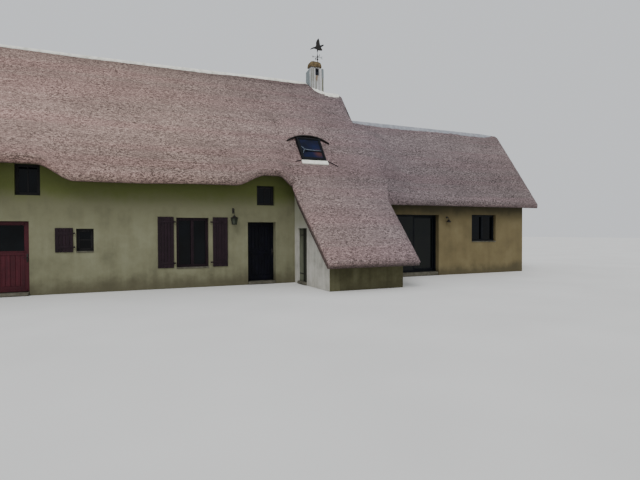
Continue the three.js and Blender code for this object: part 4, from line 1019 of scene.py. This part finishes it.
def buildGardenDoor(v):
    (x0, x1), (y0, y1), (z0, z1) = v["x"], v["y"], v["z"]
    a, b, c, d = v["opening"]
    middle, lip = v["mullion"][0], v["lip"]
    lipY = (y0 + 0.02, y0 + 0.045)
    # the outer sections have a raised inner lip, so that they catch a second line of light
    rows = [(x0, a, y0, y1, z0, z1), (b, x1, y0, y1, z0, z1), (a, b, y0, y1, z0, c), (a, b, y0, y1, d, z1),
            (a, a + lip, *lipY, c, d), (a, middle, *lipY, d - lip, d), (a, middle, *lipY, c, c + lip),
            (*v["mullion"], c, d)]
    makeJoinery("garden_door_sections", rows, "dark_frame", 0.004, replaces="garden_door_frame")
    a, b, c, d = v["leaf"]
    pa, pb, pc, pd = v["pane"]
    (y0, y1), bead = v["leafY"], v["bead"]
    beadY = (y0 + 0.004, y0 + 0.014)
    rows = [(a, pa, y0, y1, c, d), (pb, b, y0, y1, c, d), (pa, pb, y0, y1, c, pc), (pa, pb, y0, y1, pd, d),
            (pa, pa + bead, *beadY, pc, pd), (pb - bead, pb, *beadY, pc, pd),
            # a flush handle
            (b - 0.055, b - 0.02, y0 - 0.004, y0, 1.0, 1.28)]
    makeJoinery("garden_door_sash", rows, "dark_frame", 0.004, body="sliding_door",
                replaces="garden_door_leaf")


buildGardenDoor(gardenDoor)

# Windows: painted casements with beads, a rail or a bar, and a thin slate sill

casements = {
    # node: x from a to b, sill and head height, upright bars, cross bars
    "loft_window": (-4.43, -3.81, 2.82, 3.70, (-4.12,), ()),
    "pantry_window": (-2.92, -2.46, 1.22, 1.88, (), (1.55,)),
    "over_door_window": (2.52, 3.14, 2.67, 3.33, (2.83,), ()),
}
framed = {
    # window: x from a to b, sill and head height, middle of the post between its leaves, slot
    "french_window": (-0.11, 0.90, 0.65, 2.23, 0.395, "plum_paint"),
    "wing_window": (11.79, 13.10, 1.35, 2.46, 12.445, "dark_frame"),
}
casementWork = {"rim": 0.045, "sash": 0.038, "front": -3.18, "back": -3.12, "bar": 0.028, "clear": 0.001,
                "post": 0.045, "bead": 0.012, "pane": (-3.152, -3.146), "paneIn": 0.01}


def casementRows(a, b, low, high, uprights, crossings, w):
    # an outer frame clear of the wall, a sash set 6 mm back inside it, and bars set back again
    rim, sash, front, back, bar, clear = (w[key] for key in ("rim", "sash", "front", "back", "bar", "clear"))
    a, b, low, high = a + clear, b - clear, low + clear, high - clear
    rows = []
    for inset, depth, wide in ((0.0, 0.0, rim), (rim, 0.006, sash)):
        x0, x1, z0, z1, y0 = a + inset, b - inset, low + inset, high - inset, front + depth
        rows += [(x0, x0 + wide, y0, back, z0, z1), (x1 - wide, x1, y0, back, z0, z1),
                 (x0 + wide, x1 - wide, y0, back, z0, z0 + wide),
                 (x0 + wide, x1 - wide, y0, back, z1 - wide, z1)]
    inner, half = rim + sash, bar / 2
    rows += [(x - half, x + half, front + 0.01, back - 0.004, low + inner, high - inner) for x in uprights]
    rows += [(a + inner, b - inner, front + 0.012, back - 0.006, z - half, z + half) for z in crossings]
    return rows


def buildWindows(w):
    for node, (a, b, low, high, uprights, crossings) in casements.items():
        rows = casementRows(a, b, low, high, uprights, crossings, w)
        makeJoinery(node + "_joinery", rows, "brown_frame", 0.003, seed=41, replaces=node)
        inner = w["rim"] + w["sash"] - w["paneIn"]
        pane = [(a + inner, b - inner, *w["pane"], low + inner, high - inner)]
        makeJoinery(node + "_pane", pane, "window_glass", 0.001)
    for node, (a, b, low, high, x, slotName) in framed.items():
        rows = casementRows(a, b, low, high, (), (), w)
        low, high = low + w["rim"], high - w["rim"]
        rows += [(x - w["post"], x + w["post"], w["front"] + 0.004, w["back"], low, high),
                 (x - w["bead"], x + w["bead"], w["front"] - 0.004, w["front"] + 0.004, low, high)]
        makeJoinery(node + "_joinery", rows, slotName, 0.003, seed=42, replaces=node + "_frame")


buildWindows(casementWork)
print("windows glazed")

# Shutters: five boards on two ledges, hung on strap hinges whose eyes turn on the wall's pintles

shutters = {
    # node: body, x from a to b, hinge line, low and high end
    "french_shutter_left": ("left_shutter", -0.67, -0.19, -0.145, 0.65, 2.25),
    "french_shutter_right": ("right_shutter", 1.03, 1.515, 0.965, 0.65, 2.25),
    "pantry_shutter": ("small_shutter", -3.46, -3.00, -2.96, 1.2, 1.9),
}
shutterWork = {"front": -3.338, "back": -3.308, "ledge": 0.008, "boards": 5, "hingeY": -3.34,
               "strap": (0.007, 0.043), "strapLong": 0.72, "nailsAt": (0.2, 0.5, 0.85),
               # radius and height of the turned parts
               "eye": ((0.001, 0.0), (0.012, 0.0), (0.012, 0.05), (0.001, 0.05)),
               "nail": ((0.001, 0), (0.007, 0.0), (0.005, 0.004), (0.001, 0.005))}


def buildShutters(table, w):
    y0, y1, boardY = w["front"], w["back"], w["front"] + w["ledge"]
    for seed, (node, (body, a, b, hinge, low, high)) in enumerate(table.items()):
        panel = boards((a, b), (boardY, y1), (low, high), w["boards"], 50 + seed, gap=0.004)
        ledges = [(a + 0.01, b - 0.01, y0, boardY, z, z + 0.09) for z in (low + 0.1, high - 0.2)]
        makeJoinery(node + "_boards", np.concatenate([panel, ledges]), "plum_paint", 0.004, seed=60 + seed,
                    body=body, replaces=node)
        # the straps run from the hinge over most of the boards
        far, near = (a, b) if abs(hinge - b) < abs(hinge - a) else (b, a)
        tip = near + (far - near) * w["strapLong"]
        parts = []
        for eyeZ in (low + 0.12, high - 0.18):
            strapZ = [eyeZ + edge for edge in w["strap"]]
            parts.append(blocks([(*sorted((tip, hinge)), y0 - 0.004, y0 + 0.002, *strapZ)], 0.0015))
            parts.append(turned(w["eye"], (hinge, w["hingeY"], eyeZ), 16))
            parts += [facingFront(w["nail"], near + (tip - near) * share, y0 - 0.004, eyeZ + 0.025, 8)
                      for share in w["nailsAt"]]
        # they were painted over with the boards
        makePiece(node + "_straps", *joined(*parts), "plum_paint", body=body)


buildShutters(shutters, shutterWork)
print("shutters hung")

# Roof light: a coated frame with an inner sash and one bar, a bent sheet hood, dark strips out to the sides
# that stand for lead and its shadow lines, and a lumpy mortar apron below

lightWork = {
    "frameZ": (-0.28, 0.07), "sashZ": (0.0, 0.058), "stile": 0.035, "lowRail": 0.045, "barAt": 0.47,
    "hoodStep": 0.02, "hoodRight": 0.04,
    # the section of the hood's sheet: (along the slope from its edge, share of the way out of the slope)
    "hood": ((-0.034, -0.05), (-0.034, 0.75), (-0.045, 0.9), (-0.045, 1.0), (-0.03, 1.04), (-0.006, 1.03),
             (0.0, 0.95), (-0.012, 0.85), (-0.012, -0.05)),
    "cheekAt": 1.09, "cheekOut": 0.09, "apron": ((-0.515, -0.205, -0.01), (0.515, 0.0, 0.05)),
    "strips": (((-0.74, -0.1, 0.012), (-0.66, -0.075, 0.018), (-0.58, -0.05, 0.02), (-0.5, -0.035, 0.02)),
               ((0.48, 0.02, 0.02), (0.56, -0.03, 0.022), (0.66, -0.09, 0.02), (0.76, -0.16, 0.016),
                (0.87, -0.24, 0.01))),
}


def onSlope(points, tilt):
    # turned about the foot of the roof light by the slope's angle plus the tilt
    angle = slopeAngle + tilt
    foot = slopePoint(np.zeros(1), np.zeros(1), np.zeros(1))[0]
    y = points[:, 1] * math.cos(angle) - points[:, 2] * math.sin(angle)
    z = points[:, 1] * math.sin(angle) + points[:, 2] * math.cos(angle)
    return np.stack([foot[0] + points[:, 0], foot[1] + y, foot[2] + z], 1)


def buildRoofLight(v, w):
    half, rim, length, tilt = v["width"] / 2, v["rim"], v["length"], v["tilt"]
    inX, inY = half - rim, length - rim
    a, b = w["stile"] - inX, inX - w["stile"]
    frameZ, sashZ = w["frameZ"], w["sashZ"]
    rows = [(-half, -inX, 0, length, *frameZ), (inX, half, 0, length, *frameZ),
            (-inX, inX, 0, rim, *frameZ), (-inX, inX, inY, length, *frameZ),
            # sash rails and stiles stand a little proud of the glass
            (-inX, a, rim, inY, *sashZ), (b, inX, rim, inY, *sashZ),
            (-inX, inX, rim, rim + w["lowRail"], *sashZ), (-inX, inX, inY - w["stile"], inY, *sashZ)]
    points, faces = blocks(rows, 0.004)
    makePiece("roof_light_sections", onSlope(points, tilt), faces, "dark_frame", replaces="roof_light_frame",
              smooth=False)
    # pale bar across the glass, forked at its left end, with a darker bar right under it
    at = w["barAt"]
    fork = (a + 0.09, at + 0.03, 0.06)
    points, faces = joined(
        tube([(a, at + 0.16, 0.056), (a + 0.05, at + 0.1, 0.06), fork, (a + 0.2, at + 0.008, 0.06),
              (0.0, at, 0.06), (b, at - 0.012, 0.06)], 0.011),
        tube([(a + 0.01, at - 0.16, 0.056), (a + 0.04, at - 0.08, 0.06), fork], 0.008))
    makePiece("roof_light_bar", onSlope(points, tilt), faces, "dark_frame", finish="weathered_zinc")
    lowBars = [(a, b, at - 0.075, at - 0.035, 0.05, 0.064), (a, b, 0.1, 0.12, 0.05, 0.06)]
    points, faces = blocks(lowBars, 0.002)
    makePiece("roof_light_lower_bar", onSlope(points, tilt), faces, "dark_frame", smooth=False)
    # hood: across it the edge falls away as the square; each section is a thin sheet with a rolled front edge
    edgeAt = lambda x: v["hoodTop"] - v["hoodFall"] * (x / v["hoodHalf"]) ** 2
    x = np.arange(-v["hoodHalf"], v["hoodHalf"] + 1e-6, w["hoodStep"])
    out = 0.035 + 0.115 * np.exp(-(x / v["spread"]) ** 4)
    wave = 0.004 * softNoise(x / 0.16, 0 * x, 71)
    profile = []
    for up, high in w["hood"]:
        lifted = out * high if high > 0 else high + 0 * out
        profile.append(slopePoint(x + w["hoodRight"], edgeAt(x) + up + wave, lifted))
    loops = np.stack(profile, 1)[:, ::-1]
    makePiece("roof_light_canopy", *ringed(loops), "wrought_iron", replaces="roof_light_hood")
    # the cheek between the frame's head and the hood
    x = np.linspace(-half, half, 30)
    top = edgeAt(x) - 0.03
    cheek = np.stack([slopePoint(x, along + 0 * x, 0 * x + deep) for along, deep in (
        (w["cheekAt"], 0.0), (w["cheekAt"], w["cheekOut"]), (top, w["cheekOut"]), (top, 0.0))], 1)
    makePiece("roof_light_cheek", *ringed(cheek), "wrought_iron", smooth=False)
    points, faces = slab(*w["apron"], 0.016, 73, 24, 80)
    makePiece("roof_light_fillet", onSlope(points, 0.0), faces, "mortar", replaces="roof_light_apron")
    # dark strips: lead flashing and painted shadow lines along the thatch's edges
    strips = [tube(onSlope(np.array(path), 0.0), 0.014, 8) for path in w["strips"]]
    makePiece("roof_light_lead_and_shadow", *joined(*strips), "dark_frame")


buildRoofLight(roofLight, lightWork)
print("roof light fitted")

# Chimney: a brick stack under many coats of whitewash, with a smoke vent near the top, and a mossy round cap

chimney = {"x": (5.74, 6.42), "y": (-0.25, 0.19), "top": 8.69, "topRises": 0.06, "topFalls": 0.08,
           "round": 14, "fromZ": 7.4, "ringStep": 0.014, "frontPoints": 110, "sidePoints": 28, "wave": 0.006,
           "vent": (6.01, 6.17, 8.44), "ventDeep": 0.11, "neck": (0.005, 0.03, 0.07, 0.112),
           # where the top right corner gets damp across and up, the height and half-width of the crack, and
           # the heights between which the wet foot ends and the rust begins
           "dampX": (6.27, 6.34), "dampZ": (8.25, 8.42), "crack": (8.15, 0.016), "wetFoot": (7.8, 8.0),
           "rustZ": (8.12, 8.26)}
dome = {"middle": (6.07, -0.03), "half": (0.28, 0.205), "foot": 8.8, "rise": 0.26, "neckIn": 0.06,
        "lump": 0.01}


def buildChimney(v, cap):
    # level rings from the floor to the top: in plan |x|^n + |y|^n = 1, with points closer along the front
    front = np.linspace(-1, 1, v["frontPoints"])[:-1]
    side = np.linspace(-1, 1, v["sidePoints"])[:-1]
    back = np.linspace(1, -1, v["sidePoints"])[:-1]
    ux = np.concatenate([front, 0 * side + 1, back, 0 * side - 1])
    uy = np.concatenate([0 * front - 1, side, 0 * side + 1, back])
    pull = (np.abs(ux) ** v["round"] + np.abs(uy) ** v["round"]) ** (-1 / v["round"])
    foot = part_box("chimney_stack")[0][2]
    z = np.arange(v["fromZ"], v["top"] - 0.02, v["ringStep"])
    z = np.concatenate([[foot], z, [v["top"] - 0.012, v["top"]]])[:, None]
    (x0, x1), (y0, y1) = v["x"], v["y"]
    # the coping has worn to a slope: it rises to the right and falls away to the back
    share = (ux * pull + 1) / 2
    tilt = v["topRises"] * share - v["topFalls"] * (uy * pull + 1) / 2 * (1 - share)
    z = z + tilt[None] * smoothStep(z, 8.3, v["top"])
    edge = 1 - 0.02 * (np.arange(len(z)) == len(z) - 1)[:, None]
    px = (x0 + x1) / 2 + (x1 - x0) / 2 * (ux * pull)[None] * edge
    py = (y0 + y1) / 2 + (y1 - y0) / 2 * (uy * pull)[None] * edge
    bulge = v["wave"] * (softNoise(px / 0.2 + 3, z / 0.25 + py / 0.2, 81) - 1)
    px, py = px + bulge * ux[None] * 0.5, py + bulge * uy[None] * 0.5
    a, b, c = v["vent"]
    isFront = (uy < -0.999)[None] & (np.arange(len(z)) < len(z) - 1)[:, None]
    inVent = isFront & (px > a) & (px < b) & (z > c)
    py = py + v["ventDeep"] * inVent
    stack = np.stack([px, py, z + 0 * px], 2)
    stack[-1, :, 2] = v["top"] + tilt
    # the neck under the cap is the same kind of ring, drawn in by a lip's width
    (mx, my), (hx, hy) = cap["middle"], cap["half"]
    neckX, neckY = hx - cap["neckIn"], hy - cap["neckIn"]
    neck = np.stack([np.stack([mx + neckX * ux * pull, my + neckY * uy * pull, 0 * ux + v["top"] + up], 1)
                     for up in v["neck"]])
    loops = np.concatenate([stack, neck])
    at = (loops[:-1] + np.roll(loops[:-1], -1, 1) + loops[1:] + np.roll(loops[1:], -1, 1)).reshape(-1, 3) / 4
    # damp darkens the left face, the left arris and the top right corner, with a crack across the left face
    # and a wet foot; it ends in a soft edge
    fx, fy, fz = at.T
    ragged = 0.03 * softNoise(fz / 0.1, fx / 0.2, 82)
    damp = 0.75 * (fx < x0 + 0.01) + 0.8 * (1 - smoothStep(fx + ragged, x0 + 0.01, x0 + 0.06))
    topRight = smoothStep(fx + ragged, *v["dampX"]) * smoothStep(fz + ragged, *v["dampZ"])
    damp = damp + topRight * (fz < v["top"] + 0.03)
    crackZ, crackHalf = v["crack"]
    damp = damp + 0.9 * (fx < x0 + 0.01) * (np.abs(fz - crackZ + 0.1 * fy) < crackHalf)
    damp = damp + 0.5 * (1 - smoothStep(fz + ragged, *v["wetFoot"])) * (fx < x0 + 0.02)
    low, high = a + 0.04, b - 0.03
    run = smoothStep(fx + ragged, low - 0.03, low) * (1 - smoothStep(fx + ragged, high - 0.03, high + 0.02))
    rust = 0.75 * run * smoothStep(fz, *v["rustZ"]) * (fz < c) * (fy < -0.2)
    # the vent's sunk faces are darkened: soot and painted shade in the recess
    inSootAndShade = (fx > a - 0.004) & (fx < b + 0.004) & (fz > c - 0.004) & (fz < v["top"] + 0.02)
    soot = 1.0 * (inSootAndShade & (fy < -0.1) & (fy > -0.24))
    ends = (0.0, 0.0)
    makePiece("chimney_whitewashed", *ringed(loops), "white_render", finish="chimney_render",
              replaces="chimney_stack", damp=np.append(np.clip(damp, 0, 1), ends), rust=np.append(rust, ends),
              soot=np.append(soot, ends))


def buildDome(v):
    # level rings whose plan is |x|^6 + |y|^6 = 1; going up, they shrink as cos^0.5 and rise as the sine
    up = np.linspace(0, np.pi / 2 - 0.02, 30)[:, None]
    turn = np.linspace(0, 2 * np.pi, 96, endpoint=False)[None]
    pull = (np.abs(np.cos(turn)) ** 6 + np.abs(np.sin(turn)) ** 6) ** (-1 / 6)
    shrink = np.cos(up) ** 0.5
    (mx, my), (hx, hy) = v["middle"], v["half"]
    x = mx + hx * shrink * pull * np.cos(turn)
    y = my + hy * shrink * pull * np.sin(turn)
    z = v["foot"] + v["rise"] * np.sin(up) + 0 * turn
    lump = softNoise(x / 0.06 + 7, y / 0.06 + z / 0.07, 84)
    lump = v["lump"] * (lump + 0.6 * softNoise(x / 0.025, y / 0.025 + z / 0.03, 85))
    grow = lump * np.sin(up * 2 + 0.5)
    loops = np.stack([x + grow * np.cos(turn), y + grow * np.sin(turn), z + lump * np.sin(up)], 2)
    makePiece("chimney_cap_mossy", *ringed(loops), "mossy_cap", replaces="chimney_cap")


# Weather vane: a forged mast with a ball, a tapered collar and four arms with letters, and a flat cut bird

vane = {"at": (6.21, -0.03), "foot": 8.892, "ball": 9.19, "ballRadius": 0.042, "arms": 9.285, "arm": 0.235,
        "mastTop": 9.42, "tip": 9.588, "rod": 0.014, "armRod": 0.008, "stroke": 0.0065,
        "letter": (0.05, 0.085), "thick": 0.012,
        # up from the arms and radius of the collar
        "collar": ((-0.015, 0.014), (-0.014, 0.03), (0.018, 0.034), (0.03, 0.026), (0.08, 0.018),
                   (0.125, 0.011)),
        # radius and height of the bird's sleeve: from the bore's ceiling down, round the foot and up outside
        "sleeve": ((0.001, 9.589), (0.0145, 9.589), (0.0145, 9.527), (0.024, 9.527), (0.024, 9.6),
                   (0.014, 9.622), (0.001, 9.624)),
        # wing, shoulder and tail ribs on the bird, across from the mast and up from its tip
        "ribs": (((-0.1, 0.1), (0.0, 0.14), (0.06, 0.3), (0.06, 0.42)),
                 ((0.06, 0.06), (0.14, 0.05), (0.2, 0.03)), ((0.1, 0.17), (0.18, 0.21), (0.26, 0.25))),
        "ribRadius": 0.006, "ribDown": 0.003}
birdOutline = [
    # the bird's edge, metres across from the mast and up from its tip, clockwise from the beak
    (-0.35, -0.035), (-0.31, 0.03), (-0.2, 0.1), (-0.11, 0.13), (-0.06, 0.19), (-0.07, 0.32), (-0.025, 0.425),
    (0.05, 0.528), (0.085, 0.455), (0.108, 0.335), (0.125, 0.21), (0.2, 0.262), (0.31, 0.29), (0.3, 0.245),
    (0.235, 0.19), (0.16, 0.15), (0.2, 0.105), (0.24, 0.045), (0.215, 0.01), (0.12, 0.0), (0.02, 0.0),
    (-0.065, 0.04), (-0.175, 0.045), (-0.27, 0.0),
]
letterStrokes = {
    # each letter's strokes, from 0 to 1 across and up
    "N": [[(0, 0), (0, 1), (1, 0), (1, 1)]],
    "E": [[(1, 0), (0, 0), (0, 1), (1, 1)], [(0, 0.5), (0.8, 0.5)]],
    "S": [[(0, 0.1), (0.5, 0), (1, 0.2), (0.85, 0.45), (0.15, 0.55), (0, 0.8), (0.5, 1), (1, 0.9)]],
    "W": [[(0, 1), (0.25, 0), (0.5, 0.75), (0.75, 0), (1, 1)]],
}


def buildVane(v):
    x, y = v["at"]
    # mast, ball and collar are one turned profile of (height, radius)
    ball = [(v["ball"] + v["ballRadius"] * s, max(v["ballRadius"] * math.sqrt(1 - s * s), v["rod"]))
            for s in np.linspace(-1, 1, 15)]
    collar = [(v["arms"] + up, radius) for up, radius in v["collar"]]
    profile = [(v["foot"], 0.001), (v["foot"], v["rod"]), *ball, *collar, (v["mastTop"], 0.0095),
               (v["tip"] - 0.01, 0.009), (v["tip"], 0.001)]
    parts = [turned([(radius, height) for height, radius in profile], (x, y, 0), 20)]
    wide, tall = v["letter"]
    level = v["arm"] - wide * 0.5
    for letter, (ax, ay) in {"E": (1, 0), "W": (-1, 0), "N": (0, 1), "S": (0, -1)}.items():
        reach = np.linspace(0.01, level, 6)[:, None]
        parts.append(tube(np.array([x, y, v["arms"]]) + reach * np.array([ax, ay, 0.0]), v["armRod"], 10))
        for stroke in letterStrokes[letter]:
            # along x the letters read from the front, along y they read from the right
            across, rise = ((np.array(stroke) - 0.5) * (wide, tall)).T
            path = [x + ax * level + across * abs(ax), y + ay * level + across * abs(ay), v["arms"] + rise]
            parts.append(tube(np.stack(path, 1), v["stroke"], 8))
    makePiece("vane_mast_forged", *joined(*parts), "wrought_iron", replaces="vane_mast")


def buildBird(v, outline):
    # the outline is rounded by two rounds of corner cutting, then given its thickness with a bevelled rim
    edge = np.array(outline)
    for _ in range(2):
        following = np.roll(edge, -1, 0)
        edge = np.stack([0.78 * edge + 0.22 * following, 0.22 * edge + 0.78 * following], 1).reshape(-1, 2)
    inward = edge - 0.5 * (np.roll(edge, 1, 0) + np.roll(edge, -1, 0))
    inner = edge - inward * 0.3
    x, y = v["at"]
    half = v["thick"] / 2
    foot = v["tip"] - v["ribDown"]
    ring = lambda flat, depth: np.stack([x + flat[:, 0], y + depth + 0 * flat[:, 0], foot + flat[:, 1]], 1)
    loops = np.stack([ring(inner, -half), ring(edge, -half * 0.5), ring(edge, half * 0.5), ring(inner, half)])
    plate = ringed(loops)
    sleeve = turned(v["sleeve"], (x, y, 0), 20)
    ribs = [tube(np.array([(x + a, y + side * half, foot + b) for a, b in line]), v["ribRadius"], 6)
            for side in (-1, 1) for line in v["ribs"]]
    makePiece("vane_bird_cut", *joined(plate, sleeve, *ribs), "wrought_iron", body="vane",
              replaces="vane_bird", smooth=False)


buildChimney(chimney, dome)
buildDome(dome)
buildVane(vane)
buildBird(vane, birdOutline)
print("chimney and vane built")

# Lanterns: a six-sided lantern on a scrolled bracket by the entrance, a plain shade by the garden door

lantern = {"x": 1.7, "y": -3.48, "wall": -3.3, "low": 2.0, "high": 2.23, "foot": 0.075, "head": 0.115,
           "arm": 2.5, "scroll": (0.075, 2.44, 0.055), "plate": (0.028, 2.382, 2.558), "hoopUp": 0.102,
           "hoop": 0.02,
           # radius and height of the bottom plate from "low", and of the bell-shaped lid from "high"
           "floor": ((0.001, 0.0), (0.012, 0.002), (0.077, 0.008), (0.077, 0.016), (0.001, 0.018)),
           "lid": ((0.001, -0.008), (0.13, -0.008), (0.14, -0.002), (0.1, 0.018), (0.062, 0.035),
                   (0.04, 0.058), (0.022, 0.075), (0.018, 0.083), (0.001, 0.085))}
lamp = {"x": 10.49, "y": -3.43, "wall": -3.3, "armZ": 2.33, "rim": (0.108, 2.137), "inwards": 0.072,
        "tall": 0.104,      # how far the shade narrows and its height, then radius and height of turned parts
        "bulb": ((0.001, 2.15), (0.018, 2.155), (0.026, 2.175), (0.02, 2.2), (0.014, 2.232), (0.001, 2.234)),
        "plate": ((0.001, 0.0), (0.045, 0.0), (0.045, 0.006), (0.03, 0.016), (0.001, 0.018))}


def buildLantern(v):
    x, y, wall, low, high = (v[key] for key in ("x", "y", "wall", "low", "high"))
    turn = np.arange(6) * np.pi / 3 + np.pi / 6
    across, deep = np.cos(turn), np.sin(turn)
    corner = lambda radius, z: np.stack([x + radius * across, y + radius * deep, 0 * turn + z], 1)
    inPlane = lambda sideways, z: np.stack([x + 0 * z, sideways, z], 1)
    foot, head = corner(v["foot"], low + 0.012), corner(v["head"], high - 0.008)
    parts = [tube([foot[k], (foot[k] + head[k]) / 2, head[k]], 0.006, 6) for k in range(6)]
    for ring in (foot, head):
        following = np.roll(ring, -1, 0)
        parts += [tube([ring[k], (ring[k] + following[k]) / 2, following[k]], 0.0055, 6) for k in range(6)]
    parts.append(turned(v["floor"], (x, y, low), 6))
    # the lid is a bell: its radius falls off quickly, then stands as a neck with a ring on top
    parts.append(turned(v["lid"], (x, y, high), 18))
    circle = np.linspace(0, 2 * np.pi, 17)
    hoop = [x + v["hoop"] * np.sin(circle), y + 0 * circle, high + v["hoopUp"] + v["hoop"] * np.cos(circle)]
    parts.append(tube(np.stack(hoop, 1), 0.004, 6))
    # bracket: out from the plate, with a scroll that is a shrinking circle below it
    reach = np.linspace(0, 1, 9)
    arm = inPlane(wall - 0.008 + (y - 0.012 - wall) * reach, v["arm"] + 0.02 * np.sin(reach * np.pi))
    parts.append(tube(arm, 0.009, 8))
    parts.append(tube([(x, y, v["arm"] + 0.005), (x, y, v["arm"] - 0.05), (x, y, high + 0.12)], 0.006, 6))
    curl = np.linspace(0, 2.6 * np.pi, 40)
    away, middle, widest = v["scroll"]
    radius = widest * (1 - 0.62 * curl / curl[-1])
    scroll = inPlane(wall - away - radius * np.sin(curl), middle + radius * np.cos(curl))
    parts.append(tube(scroll, 0.0055, 6))
    half, plateLow, plateHigh = v["plate"]
    parts.append(blocks([(x - half, x + half, wall - 0.012, wall - 0.0005, plateLow, plateHigh)], 0.004))
    makePiece("wall_lantern_iron", *joined(*parts), "wrought_iron", replaces="wall_lantern", smooth=False)
    panes = np.stack([corner(v["foot"] - 0.006, low + 0.018), corner(v["head"] - 0.006, high - 0.01)])
    makePiece("wall_lantern_panes", *ringed(panes), "window_glass", finish="lantern_glass", smooth=False)


def buildLamp(v):
    # the shade's radius falls as a sine to the power 1.2 while its height grows evenly; it is 4 mm thick
    x, y, wall, armZ = v["x"], v["y"], v["wall"], v["armZ"]
    outer = [(v["rim"][0] - v["inwards"] * math.sin(t * math.pi / 2) ** 1.2, v["rim"][1] + v["tall"] * t)
             for t in np.linspace(0, 1, 9)]
    inner = [(radius - 0.004, height - 0.002) for radius, height in outer[::-1]]
    shade = turned([(0.001, 2.236), *inner[1:], *outer, (0.02, 2.2435), (0.001, 2.2445)], (x, y, 0), 28)
    bulb = turned(v["bulb"], (x, y, 0), 16)
    arm = tube([(x, wall - 0.006, armZ), (x, wall - 0.05, armZ + 0.005), (x, wall - 0.1, armZ - 0.005),
                (x, y + 0.004, armZ - 0.03), (x, y, armZ - 0.06), (x, y, armZ - 0.09)], 0.009, 10)
    plate = facingFront(v["plate"], x, wall - 0.0005, armZ, 20)
    makePiece("wing_lamp_shade", *joined(shade, bulb, arm, plate), "wrought_iron", replaces="wing_lamp")


buildLantern(lantern)
buildLamp(lamp)
print("lanterns hung")

# Worn stone doorsteps, thin stone sills, and the windows at the back

steps = {
    # node: seed and depth of wear
    "left_door_step": (91, 0.012), "entrance_step": (92, 0.014), "side_door_step": (93, 0.012),
    "garden_door_step": (94, 0.012),
}
sillForm = {"front": -3.322, "wall": -3.3003, "back": -3.181, "nose": 0.035, "lap": 0.006, "clear": 0.003,
            "under": (casements["pantry_window"], framed["french_window"], framed["wing_window"])}
rearWindows = {
    # x from a to b, sill and head, back and front of the joinery, slot
    "rear_left": (-5.0, -4.0, 1.15, 2.23, 2.86, 2.92, "brown_frame"),
    "rear_middle": (-0.7, 0.3, 1.15, 2.23, 2.86, 2.92, "brown_frame"),
    "rear_right": (3.3, 4.3, 1.15, 2.23, 2.86, 2.92, "brown_frame"),
    "wing_rear": (10.2, 11.5, 1.35, 2.46, 1.79, 1.85, "dark_frame"),
}


def buildSteps(table):
    for node, (seed, wear) in table.items():
        worn = slab(*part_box(node), wear, seed, 36, 96)
        makePiece(node + "_worn", *worn, "doorstep_stone", replaces=node)


def buildSills(v):
    # each is a nose on the wall's face and a thin lap that runs back to the frame
    rows = []
    for a, b, top, *_ in v["under"]:
        a, b = a + v["clear"], b - v["clear"]
        rows += [(a, b, v["front"], v["wall"], top - v["nose"], top + v["lap"]),
                 (a, b, v["wall"] - 0.004, v["back"], top + 0.0005, top + v["lap"])]
    makeJoinery("window_sills", rows, "doorstep_stone", 0.006)


def buildRearWindows(table):
    for name, (a, b, low, high, y0, y1, slotName) in table.items():
        form = {**casementWork, "front": -y1, "back": -y0}
        rows = np.array(casementRows(a, b, low, high, ((a + b) / 2,), ((low + high) / 2,), form))
        # the rows are laid out for a front wall; here they face the other way
        rows[:, 2:4] = -rows[:, 3:1:-1]
        makeJoinery(name + "_joinery", rows, slotName, 0.003)


buildSteps(steps)
buildSills(sillForm)
buildRearWindows(rearWindows)
print("steps, sills and rear windows set")

# Every solid that stays gets the finish of its slot, or its own
# the lean-to's walls take the shaded render: painted shade
ownFinish = {"lean_to_front_wall": "lean_to_shaded_render", "lean_to_right_wall": "lean_to_shaded_render",
             "left_gable_wall": "gable_render", "right_gable_wall": "gable_render",
             # the roof light's and garden door's glass carry painted reflections
             "wing_gable_wall": "wing_gable_render", "roof_light_glass": "roof_glass",
             "garden_door_fixed_glass": "garden_glass", "garden_door_leaf_glass": "garden_glass"}
slotOf = {part["node"]: part["material_slot"] for part in frame["record"]["subparts"]}
for name, node in frame["nodes"].items():
    if not node.material_slots:
        node.data.materials.append(None)
    for socket in node.material_slots:
        socket.material = finishes[ownFinish.get(name, slotOf[name])]
print("solids finished")

# Floor and light: a pale matt floor just under the part, and a soft sun from the left

floorForm = {"reach": 120, "z": -0.004, "dark": "#e2e1de", "light": "#e9e8e5", "patch": 2.5,
             "relief": 0.001, "bump": 0.05, "roughness": 0.9}
lightLook = {"sky": (0.93, 0.96, 1.0), "skyStrength": 0.8, "sun": 1.3, "sunAngle": 30,
             "sunTurn": (42, 0, -38)}


def layFloor(v):
    far, z = v["reach"], v["z"]
    ground = bpy.data.meshes.new("paleFloor")
    ground.from_pydata([(-far, -far, z), (far, -far, z), (far, far, z), (-far, far, z)], [], [(0, 1, 2, 3)])
    made, add, place = startMaterial("pale studio floor")
    shade = add("TexNoise", {"Vector": place, "Scale": 1 / v["patch"]})
    colour = add("ValToRGB", {0: shade}, stops=[(0.3, v["dark"]), (0.7, v["light"])])
    finishMaterial(add, colour, shade, v)
    ground.materials.append(made)
    floorObject = bpy.data.objects.new("paleFloor", ground)
    bpy.context.scene.collection.objects.link(floorObject)


def setLight(v):
    world = bpy.data.worlds.new("softSky")
    bpy.context.scene.world = world
    world.use_nodes = True
    world.node_tree.nodes["Background"].inputs[0].default_value = (*v["sky"], 1)
    world.node_tree.nodes["Background"].inputs[1].default_value = v["skyStrength"]
    sun = bpy.data.lights.new("softSun", "SUN")
    sun.energy = v["sun"]
    sun.angle = math.radians(v["sunAngle"])
    sunObject = bpy.data.objects.new("softSun", sun)
    sunObject.rotation_euler = [math.radians(turn) for turn in v["sunTurn"]]
    bpy.context.scene.collection.objects.link(sunObject)


layFloor(floorForm)
setLight(lightLook)
print("floor and light set")
